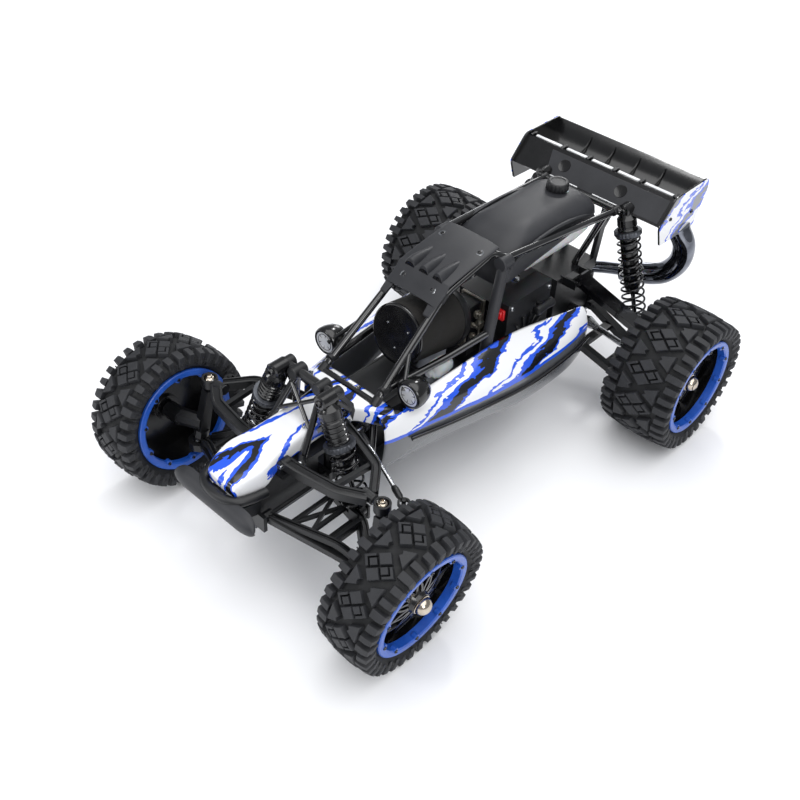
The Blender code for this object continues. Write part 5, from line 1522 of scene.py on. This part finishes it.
@dataclass
class Wing:
    """The rear wing: holed main plate, slotted flap and painted end plates."""

    shop: Shop
    half: float = 118.0

    def build(self) -> None:
        """Makes the plates, end plates and stays, and white strips of painted highlight in the slot and
        along the front edge.
        """
        main, span = Solid(), self.half
        front, back = Vector((-291, 0, 258.5)), Vector((-321, 0, 288.5))
        run = (back - front).length
        holes = [circle(y, run * 0.52, 7.2, 24) for y in (-45, 45)]
        outline = [(-span, 0), (span, 0), (span, run), (-span, run)]
        main.plate(outline, 3.0, front, (0, 1, 0), back - front, holes)
        self.shop.piece("wing_main_plate", main, NYLON_GLOSS, "chassis", Slot.NYLON, bevel=0.7,
                        replaces=["rear_wing"])
        panel = Solid().plate([(-64, 3), (112, 3), (112, run - 6), (-74, run - 6)], 0.8,
                              front + (back - front).cross(Vector((0, -1, 0))).normalized() * 2.6,
                              (0, 1, 0), back - front, holes)
        self.shop.piece("wing_centre_panel", panel, ABS_MATT, "chassis", Slot.NYLON, bevel=0.3)
        cups = Solid()
        deep = (back - front).cross(Vector((0, 1, 0))).normalized()
        for y in (-45, 45):
            at = front + (back - front) * 0.52 + Vector((0, y, 0)) - deep * 3.6
            cups.lathe([(0, 7.1), (-0.4, 8.6), (0.6, 8.8), (7, 7.6), (7.4, 6.8), (4.6, 6.4), (4.6, 3),
                        (4.6, 0.2)], at, deep, 28)
        self.shop.piece("wing_cups", cups, NYLON_GLOSS, "chassis", Slot.NYLON, sharp=40)
        trough = [(-327, 289.6), (-329, 287), (-333, 277), (-344, 266), (-358, 263), (-372, 268),
                  (-382, 278), (-388, 291), (-391, 291.5)]
        under = [(-391, 288), (-385, 275), (-373, 264), (-358, 259.5), (-342, 262.5), (-330, 273),
                 (-326.6, 286)]
        flap = Solid().rings([[(x, y, z) for x, z in (*trough, *under)] for y in (-span, span)])
        for y in (-60, -20, 20, 60):
            rib = [(-327, 286), (-333, 278.5), (-345, 267.5), (-358, 264.5), (-371, 269.5),
                   (-381, 279.5), (-384, 286), (-376, 276), (-358, 269), (-340, 276)]
            flap.rings([[(x, y + w, z) for x, z in rib] for w in (-0.8, 0.8)])
        painted_highlight_strips = Solid()
        for y in (-114, -62, -21, 21, 62, 114):
            flap.block((-330, y - 2.2, 286), (-318, y + 2.2, 292.2))
        # Bright white strips in the slot between plate and flap, and rod pairs along the plate's front
        # edge: painted highlights.
        for y, reach in ((-88, 21), (-41.5, 16), (0, 16), (41.5, 16), (88, 21)):
            painted_highlight_strips.block((-326.6, y - reach, 289.0), (-321.6, y + reach, 290.6))
        for y in (-36, 36):
            for z in (259.6, 263.4):
                painted_highlight_strips.rod((-290.6, y - 24, z), (-290.6, y + 24, z), 0.9, 10)
        self.shop.piece("wing_flap", flap, NYLON_GLOSS, "chassis", Slot.NYLON, bevel=0.3)
        self.shop.piece("wing_painted_highlight_strips", painted_highlight_strips, PAINTED_REFLECTION_WHITE, "chassis", Slot.STEEL, bevel=0.3)
        ends, inner, stays, screws = Solid(), Solid(), Solid(), Solid()
        edge = [(-295, 233), (-284, 262), (-313, 294), (-390, 295), (-393, 280), (-374, 231)]
        ring = rounded([(x, 0, z) for x, z in (*edge, edge[0])], 6, 4)[1:]
        for side in Side:
            s = side.value
            ends.rings([[(p.x, y * s, p.z) for p in ring] for y in (119.9, 121)])
            inner.rings([[(p.x, y * s, p.z) for p in ring] for y in (117.4, 119.6)])
            stays.sweep(flip([(-309, 28, 272), (-302, 24, 150)], s),
                        [(-3, -6), (3, -6), (3, 6), (-3, 6)], (1, 0, 0))
            stays.sweep(flip([(-350, 28, 260), (-306, 24, 200)], s),
                        [(-2, -3), (2, -3), (2, 3), (-2, 3)], (1, 0, 0))
            for x, z in ((-306, 268), (-360, 258)):
                screws.screw((x, 121 * s, z), (0, s, 0), 2.6)
        self.shop.piece("wing_end_plates", ends, WING_PAINT, "chassis", Slot.LEXAN, bevel=0.5)
        self.shop.piece("wing_end_backs", inner, NYLON_GLOSS, "chassis", Slot.NYLON, bevel=0.5)
        self.shop.piece("wing_stays", stays, NYLON, "chassis", Slot.NYLON, bevel=0.8)
        self.shop.piece("wing_screws", screws, NYLON_GLOSS, "chassis", Slot.STEEL)


@dataclass
class Exhaust:
    """The black-chromed exhaust and silencer."""

    shop: Shop

    def build(self) -> None:
        """Bends the pipe and turns the silencer."""
        thin = [(-297.3, -10, 130), (-312, -10, 130), (-335, 18, 133), (-352, 56, 138)]
        wide = [(-346, 50, 140), (-350, 74, 144), (-355, 104, 156), (-358, 122, 180),
                (-358, 124, 208), (-353, 112, 232)]
        solid = Solid().tube(smooth_curve(thin, 8), 8.6, 24)
        pipe = smooth_curve(wide, 8)
        solid.tube(pipe, 15.0, 32)
        for end, way in ((pipe[0], pipe[1] - pipe[0]), (pipe[-1], pipe[-2] - pipe[-1])):
            solid.lathe([(-1.0, 12.5), (-0.6, 16.0), (3.0, 16.0), (3.6, 15.0)], end, way, 32)
        self.shop.piece("chromed_exhaust", solid, BLACK_CHROME, "chassis", Slot.CHROME,
                        replaces=["exhaust_pipe"], sharp=50)


# --------------------------------------------------------------------------- front end


@dataclass
class Bumper:
    """The leaned-back bumper plate with round ends, and its hoop."""

    shop: Shop

    def build(self) -> None:
        """Makes the plate, the hoop and the mounts."""
        lean = math.radians(32)
        up = Vector((-math.sin(lean), 0, math.cos(lean)))
        normal = Vector((math.cos(lean), 0, math.sin(lean)))
        centre, rows, flat, cap = Vector((341, 0, 138)), [], 43.0, 22.0
        for k in range(33):
            share = -1 + k / 16
            if abs(share) > 0.5:
                y = math.copysign(flat + cap * math.sin((abs(share) - 0.5) * math.pi), share)
            else:
                y = share * 2 * flat
            high = math.sqrt(max(0.02, 1 - max(0.0, (abs(y) - flat) / cap) ** 2))
            row = []
            for turn in (76, 52, 30, 8, -12, -34, -58, -84, -112, -136):
                a = math.radians(turn)
                row.append(centre + Vector((0, y, 0)) + normal * (10 * math.cos(a) - 3) * high
                           + up * (12.5 * math.sin(a) + 3) * high)
            rows.append(row)
        plate = open_skin(rows)
        self.shop.piece("bumper_plate", plate, ABS_MATT, "chassis", Slot.NYLON,
                        replaces=["front_bumper"], sharp=50, thicken=3.2, bevel=0.8)
        hoop = Solid()
        path = [(298, 36, 148), (316, 33, 149), (333, 24, 149), (339, 0, 149), (333, -24, 149),
                (316, -33, 149), (298, -36, 148)]
        hoop.tube(smooth_curve(path, 6), 5.6, 20)
        for y in (-24, 24):
            hoop.rod((326, y, 140), (340, y, 139), 5.0)
            hoop.sweep([(300, y, 120), (330, y * 0.9, 126)], [(-4, -9), (4, -9), (4, 9), (-4, 9)])
        self.shop.piece("bumper_hoop", hoop, NYLON, "chassis", Slot.NYLON, bevel=0.5)


@dataclass
class Tower:
    """The braced tower that carries the front shocks."""

    shop: Shop

    def build(self) -> None:
        """Makes the cross tube, bosses, struts and gusset legs."""
        bright, dull, screws = Solid(), Solid(), Solid()
        top = 226.0
        dull.rod((201.7, -44, top), (201.7, 44, top), 5.2, 24)
        for side in Side:
            s = side.value
            for y in (19, 37):
                dull.rod(*flip([(192, y, top), (211, y, top)], s), 7.4, 24)
            bright.tube(flip([(201.7, 19, top - 3), (243, 32, 157)], s), 3.9)
            bright.tube(flip([(201.7, 19, top - 3), (196, 31, 162), (195.5, 31, 158)], s), 3.9)
            bright.tube(flip([(204, 34, top - 4), (227, -27, 183)], s), 2.6, 12)
            dull.sweep(flip([(196, 30, top - 2), (172, 30, 192), (164, 27, 164)], s),
                       [(-3, -5), (3, -5), (3, 5), (-3, 5)], (0, 1, 0))
            dull.sweep(flip([(206, 44, top - 2), (188, 44, 204), (176, 32, 186)], s),
                       [(-2.4, -4), (2.4, -4), (2.4, 4), (-2.4, 4)], (0, 1, 0))
            dull.rod(*flip([(238, 26, 157), (250, 38, 157)], s), 5.4)
            screws.screw(flip([(250.5, 36, 158)], s)[0], (1, 0.6 * s, 0), 3.4)
        self.shop.piece("tower_tubes", bright, TUBE, "chassis", Slot.STEEL,
                        replaces=["front_shock_tower"])
        self.shop.piece("tower_castings", dull, NYLON, "chassis", Slot.NYLON, bevel=0.7)
        self.shop.piece("tower_screws", screws, ZINC, "chassis", Slot.STEEL)


@dataclass
class Shock:
    """One coil-over shock: capped damper, knurled collar, wound spring and rod."""

    shop: Shop
    end: str
    side: Side
    top: tuple[float, float, float]
    foot: tuple[float, float, float]
    curls: float
    spring_from: float
    spring_radius: float = 14.6
    wire: float = 1.5

    def build(self) -> None:
        """Makes the damper, the rod and the spring between them."""
        s, tag = self.side.value, f"{self.end}_{self.side.word}"
        a, b = flip([self.top, self.foot], s)
        axis, length = (b - a).normalized(), (b - a).length
        damper, plunger = f"{self.end}_damper_{self.side.word}", f"{self.end}_plunger_{self.side.word}"
        body = Solid()
        eye = 10.5 if self.end == "front" else 7.5
        body.lathe([(-eye, 7.2), (-eye + 1.2, 9.2), (eye - 1.2, 9.2), (eye, 7.2)], a, (1, 0, 0), 28)
        rings = [(4, 8.0), (9, 11.0), (11, 12.8), (20, 13.0), (21, 12.0), (23, 12.0), (24, 13.2)]
        place = 26.0
        while place < self.spring_from - 8:
            rings += [(place, 13.2), (place + 0.8, 12.0), (place + 2.6, 12.0), (place + 3.4, 13.2)]
            place += 6.0
        rings += [(self.spring_from - 7, 13.2), (self.spring_from - 6.4, 11.4), (0.6 * length, 11.2),
                  (0.63 * length, 9.5), (0.66 * length, 9.0), (0.66 * length, 3.4)]
        body.lathe(rings, a, axis, 36)
        self.shop.piece(f"damper_tube_{tag}", body, NYLON_GLOSS, damper, Slot.NYLON,
                        replaces=[f"shock_body_{tag}"], sharp=30)
        self.shop.piece(f"collar_{tag}", self._collar(a, axis), ALLOY, damper, Slot.ALLOY)
        bolt = Solid().screw(a + Vector((eye - 0.5, 0, 0)), (1, 0, 0), 4.4)
        self.shop.piece(f"shock_bolt_{tag}", bolt, NYLON_GLOSS, damper, Slot.STEEL)
        rod = Solid().lathe([(0.6 * length, 2.9), (length - 9, 3.0)], a, axis, 20)
        rod.lathe([(length - 17.5, 8), (length - 16.8, 16.6), (length - 15, 17.2), (length - 13, 16.6),
                   (length - 12, 9), (length - 9, 6.4)], a, axis, 32)
        rod.lathe([(-4.8, 5.6), (-4.2, 7.2), (4.2, 7.2), (4.8, 5.6)], b, (1, 0, 0), 24)
        self.shop.piece(f"plunger_{tag}", rod, NYLON_GLOSS, plunger, Slot.STEEL,
                        replaces=[f"shock_rod_{tag}"], sharp=30)
        hexagon = Solid().lathe([(length - 26, 6.6), (length - 25.4, 7.2), (length - 18.6, 7.2),
                                 (length - 18, 6.6)], a, axis, 6)
        self.shop.piece(f"rod_hexagon_{tag}", hexagon, ZINC, plunger, Slot.STEEL, sharp=20)
        self._spring(a, axis, length, tag, damper, plunger)

    def _collar(self, a: Vector, axis: Vector) -> Solid:
        """Turns the knurled ring that preloads the spring.

        Args:
            a: the middle of the shock's upper eye.
            axis: the way down the shock.

        Returns:
            The ring.
        """
        u, v, w = basis(axis)
        solid, loops, count = Solid(), [], 96
        for along, r, deep in ((-7.4, 15, 0), (-7, 17.2, 0.2), (-6, 18, 1.0), (-1.6, 18, 1.0),
                               (-0.4, 17.2, 0.2), (0, 15.5, 0)):
            loops.append([a + w * (self.spring_from + along)
                          + (u * math.cos(TURN * k / count) + v * math.sin(TURN * k / count))
                          * (r - deep * (k % 4 > 1)) for k in range(count)])
        return solid.rings(loops)

    def _spring(self, a: Vector, axis: Vector, length: float, tag: str, damper: str,
                plunger: str) -> None:
        """Winds the spring, with closed end coils, between the collar and the low seat.

        Args:
            a: the middle of the shock's upper eye.
            axis: the way down the shock.
            length: from eye to eye.
            tag: the shock's place, for the names.
            damper: the body that the collar rides on; not used.
            plunger: the body that the low seat rides on; not used.
        """
        u, v, w = basis(axis)
        start, end = self.spring_from + self.wire, length - 17.5 - self.wire
        path, steps = [], int(self.curls * 26)
        for i in range(steps + 1):
            t = i / steps
            ease = min(1.0, max(0.0, (t - 0.5 / self.curls) / (1 - 1 / self.curls)))
            turn = TURN * self.curls * t
            path.append(a + w * (start + (end - start) * ease)
                        + (u * math.cos(turn) + v * math.sin(turn)) * self.spring_radius)
        wire = Solid().tube(path, self.wire, 10)
        self.shop.piece(f"wound_spring_{tag}", wire, WIRE,
                        (damper, plunger, a + w * start, a + w * end), Slot.SPRING,
                        replaces=[f"spring_{tag}"], sharp=70)


@dataclass
class FrontArms:
    """The upper A-arm, the ball, the tie rod and the ribbed lower arm of one front corner."""

    shop: Shop
    side: Side

    def build(self) -> None:
        """Makes the bars, webs, screws and ball joints."""
        s, word = self.side.value, self.side.word
        upper, steel = Solid(), Solid()
        channel = [(-6.2, -5.5), (6.2, -5.5), (6.6, 5.5), (3.8, 6.2), (3.4, 3.4), (-3.4, 3.4),
                   (-3.8, 6.2), (-6.6, 5.5)]
        lean = [(x * 0.82, z) for x, z in channel]
        for bar_line, section in (
                ([(266, 31, 165), (264, 50, 164), (255, 96, 161), (236, 122, 157)], channel),
                ([(180, 31, 165), (184, 50, 164), (197, 98, 160), (226, 122, 157)], lean)):
            upper.sweep(rounded(flip(bar_line, s), 6, 3), section)
        upper.sweep(flip([(254, 88, 161), (200, 92, 160)], s), [(-3, -4), (3, -4), (3, 3), (-3, 3)])
        for x in (266, 180):
            upper.rod(*flip([(x - 6, 30, 165), (x + 6, 30, 165)], s), 6.4, 24)
        upper.rod(*flip([(231, 112, 157.4), (231, 129, 156)], s), 6.4, 24)
        ring = self._ring(flip([(231, 140, 155)], s)[0], 9.6, 6.0)
        self.shop.piece(f"upper_a_arm_{word}", upper.join(ring), NYLON, f"front_top_arm_{word}",
                        Slot.NYLON, bevel=0.6, replaces=[f"front_upper_arm_{word}"])
        thread = [(0, 4.0)]
        for k in range(6):
            thread += [(1 + 2 * k, 4.6), (2 + 2 * k, 3.9)]
        steel.lathe(thread, flip([(231, 125, 156.3)], s)[0], (0, s, -0.1), 20)
        for x in (273, 173):
            steel.screw(flip([(x, 30, 165)], s)[0],
                        (1, 0, 0) if x > 200 else (-1, 0, 0), 4.2)
        self.shop.piece(f"upper_arm_steel_{word}", steel, ZINC, f"front_top_arm_{word}", Slot.STEEL)
        knob = Solid().lathe([(-7, 3), (-6, 4.4), (-3, 6.6), (0, 7.2), (3, 6.6), (5.6, 4.6), (6.6, 2.2),
                              (6.7, 0.2)], flip([(231, 140, 155.5)], s)[0], (0, 0, 1), 28)
        knob.screw(flip([(231, 140, 161.4)], s)[0], (0, 0, 1), 3.6)
        self.shop.piece(f"upper_ball_{word}", knob, NICKEL, f"front_carrier_{word}", Slot.STEEL,
                        sharp=60)
        inner, outer = flip([(164.7, 40, 154), (199.9, 142.3, 138.5)], s)
        way = (outer - inner).normalized()
        bar = Solid().rod(inner + way * 14, outer - way * 16, 2.4)
        self.shop.piece(f"tie_bar_{word}", bar, ZINC, f"tie_{word}", Slot.STEEL,
                        replaces=[f"tie_rod_{word}"])
        ends = Solid()
        for at, turn, bore in ((inner, way, 3.6), (outer, -way, 5.2)):
            ends.lathe([(-2.2, bore), (-2.2, bore + 2), (2.2, bore + 2), (2.2, bore)],
                       at, (0, 0, 1), 24, cyclic=True)
            ends.lathe([(bore + 1, 2.4), (10, 3.8), (20, 4.0), (24, 3.2)], at, turn, 16)
        self.shop.piece(f"tie_rod_ends_{word}", ends, NYLON, f"tie_{word}", Slot.NYLON)
        self._lower(s, word)

    @staticmethod
    def _ring(at: Vector, radius: float, high: float) -> Solid:
        """An upright ring round a ball."""
        return Solid().lathe([(-high, radius - 2.6), (-high, radius), (high, radius),
                              (high, radius - 2.6)], at, (0, 0, 1), 28, cyclic=True)

    def _lower(self, s: int, word: str) -> None:
        """Dresses the CAD lower arm with edge rails and cross ribs.

        Args:
            s: 1 for the left side and -1 for the right.
            word: the side's name.
        """
        solid = Solid()
        rail = [(-3.6, -4), (3.6, -4), (3.6, 4), (1.4, 4), (1.4, 1), (-1.4, 1), (-1.4, 4), (-3.6, 4)]
        solid.sweep(rounded(flip([(295, 34, 108), (263, 108, 96), (252, 134, 76)], s), 10, 4), rail)
        solid.sweep(rounded(flip([(215, 34, 108), (217, 100, 96), (240, 134, 76)], s), 10, 4), rail)
        for y, z, x0, x1 in ((56, 104.5, 283, 216), (78, 101, 273, 216), (100, 97, 264, 219)):
            solid.sweep(flip([(x0, y, z), (x1, y, z)], s), [(-2.4, -3), (2.4, -3), (2.4, 2), (-2.4, 2)])
        solid.sweep(flip([(283, 56, 104), (218, 78, 101)], s), [(-2, -3), (2, -3), (2, 2), (-2, 2)])
        solid.sweep(flip([(216, 56, 104), (273, 78, 101)], s), [(-2, -3), (2, -3), (2, 2), (-2, 2)])
        self.shop.piece(f"lower_arm_rails_{word}", solid, NYLON, f"front_arm_{word}", Slot.NYLON,
                        bevel=0.5)


# --------------------------------------------------------------------------- the whole car


NODE_FINISH: dict[str, Finish] = {
    "chassis_plate": ALLOY, "front_bulkhead": NYLON, "radio_box": NYLON, "engine": NYLON,
    "rear_bulkhead": NYLON, "steering_link": ZINC, "steering_crank": NYLON,
    "front_lower_arm": NYLON, "front_lower_ball": ZINC, "front_upright": NYLON,
    "tie_rod": ZINC, "rear_lower_arm": NYLON, "rear_upper_link": TUBE, "rear_upright": NYLON,
    "drive_shaft": ZINC,
}


def dress_nodes(nodes: dict[str, bpy.types.Object]) -> None:
    """Gives every CAD node that stays in sight its finish.

    Args:
        nodes: the frame's CAD nodes.
    """
    for name, node in nodes.items():
        stem = name.removesuffix("_left").removesuffix("_right")
        finish = NODE_FINISH.get(stem, NYLON)
        node.data.materials.clear()
        node.data.materials.append(finish.material())


@dataclass
class Studio:
    """A white floor, soft boxes, and the camera at the photograph's angle."""

    site: Site
    eye: tuple[float, float, float] = (794.61, 649.37, 959.53)
    back: tuple[float, float, float] = (0.56882, 0.49809, 0.65448)
    up: tuple[float, float, float] = (-0.45442, -0.47294, 0.75487)
    lens: float = 47.853
    floor_reach: float = 30.0
    sky_strength: float = 0.36
    sun_strength: float = 2.35
    sun_width_deg: float = 76.0

    def build(self) -> None:
        """Makes the camera, the floor, the lights and the sky."""
        scene = bpy.context.scene
        lens = bpy.data.cameras.new("camera")
        lens.lens, lens.sensor_width, lens.clip_start, lens.clip_end = self.lens, 36.0, 0.05, 60
        camera = bpy.data.objects.new("camera", lens)
        scene.collection.objects.link(camera)
        back, up = Vector(self.back).normalized(), Vector(self.up).normalized()
        right = up.cross(back)
        camera.matrix_world = Matrix.Translation(self.site.at(self.eye)) @ Matrix(
            (right, up, back)).transposed().to_4x4()
        scene.camera = camera
        scene.view_settings.view_transform = "Standard"
        floor = bpy.data.meshes.new("floor")
        reach = self.floor_reach
        floor.from_pydata([(-reach, -reach, 0), (reach, -reach, 0), (reach, reach, 0),
                           (-reach, reach, 0)], [], [(0, 1, 2, 3)])
        paper = Painter("studio_paper")
        tone = paper.ramp(paper.noise(400, 2), [(0.3, "f6f7f9"), (0.7, "fbfbfd")])
        floor.materials.append(paper.done(paper.add(
            "ShaderNodeBsdfPrincipled", Base_Color=tone, Roughness=0.55).outputs[0]))
        ground = bpy.data.objects.new("floor", floor)
        scene.collection.objects.link(ground)
        ground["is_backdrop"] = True
        world = bpy.data.worlds.new("studio")
        world.use_nodes = True
        scene.world = world
        sky = world.node_tree.nodes["Background"]
        sky.inputs[0].default_value = linear("f3f6fb")
        sky.inputs[1].default_value = self.sky_strength
        for name, at, size, watts in (("side_box", (1.2, 1.9, 1.3), 0.8, 13.0),
                                      ("rim_box", (-1.9, -1.0, 0.7), 0.6, 6.0),
                                      ("strip_box", (-1.3, -0.5, 1.5), 0.22, 6.0),
                                      ("nose_box", (2.0, -0.8, 1.1), 0.5, 9.0)):
            lamp = bpy.data.lights.new(name, "AREA")
            lamp.energy, lamp.size = watts, size
            self._hang(name, lamp, at)
        key = bpy.data.lights.new("overhead_silk", "SUN")
        key.energy, key.angle = self.sun_strength, math.radians(self.sun_width_deg)
        self._hang("overhead_silk", key, (0.1, 0.25, 2.0))

    @staticmethod
    def _hang(name: str, lamp: bpy.types.Light, at: Point) -> None:
        """Hangs a light and points it at the car.

        Args:
            name: the light's name.
            lamp: its data.
            at: where it hangs, in metres.
        """
        light = bpy.data.objects.new(name, lamp)
        light.location = at
        light.rotation_euler = (Vector((0, 0, 0.15)) - Vector(at)).to_track_quat("-Z", "Y").to_euler()
        bpy.context.scene.collection.objects.link(light)


def assemblies(shop: Shop) -> list[Assembly]:
    """Lists the car's sub-assemblies in the order in which they are made.

    Args:
        shop: makes their pieces.

    Returns:
        The sub-assemblies, not built yet.
    """
    made: list[Assembly] = []
    for side in Side:
        made += [
            Wheel(shop, "front", side, (AXLE_FRONT_MM, 193.5, 92), 36.0, 61.0, 17.0, 6.0),
            Wheel(shop, "rear", side, (AXLE_REAR_MM, 197, 92), 49.0, 85.0, 26.0, 0.0),
            Shock(shop, "front", side, (213, 37, 226), (213, 90, 98), 6.0, 58.0),
            Shock(shop, "rear", side, (-290, 66, 264), (-290, 118, 98), 12.0, 34.0),
            Lamp(shop, side),
            FrontArms(shop, side),
        ]
    made += [maker(shop) for maker in (Bodywork, Cage, RoofPanel, AirFilter, RadioBox, Tank,
                                       Engine, Wing, Exhaust, Bumper, Tower)]
    return made


def main() -> None:
    """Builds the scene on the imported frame."""
    logging.basicConfig(level=logging.INFO)
    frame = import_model()
    site = Site.from_frame()
    Studio(site).build()
    dress_nodes(frame["nodes"])
    shop = Shop(site)
    for assembly in assemblies(shop):
        first = len(shop.made)
        assembly.build()
        for name in shop.made[first:]:
            LOG.info("%s: made %s", type(assembly).__name__, name)
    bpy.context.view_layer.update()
    shown = [piece.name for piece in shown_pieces()]
    for name in shown:
        if name not in shop.made:
            LOG.info("CAD node dressed: %s", name)
    LOG.info("pieces: %d", len(shown))


if __name__ == "__main__":
    main()
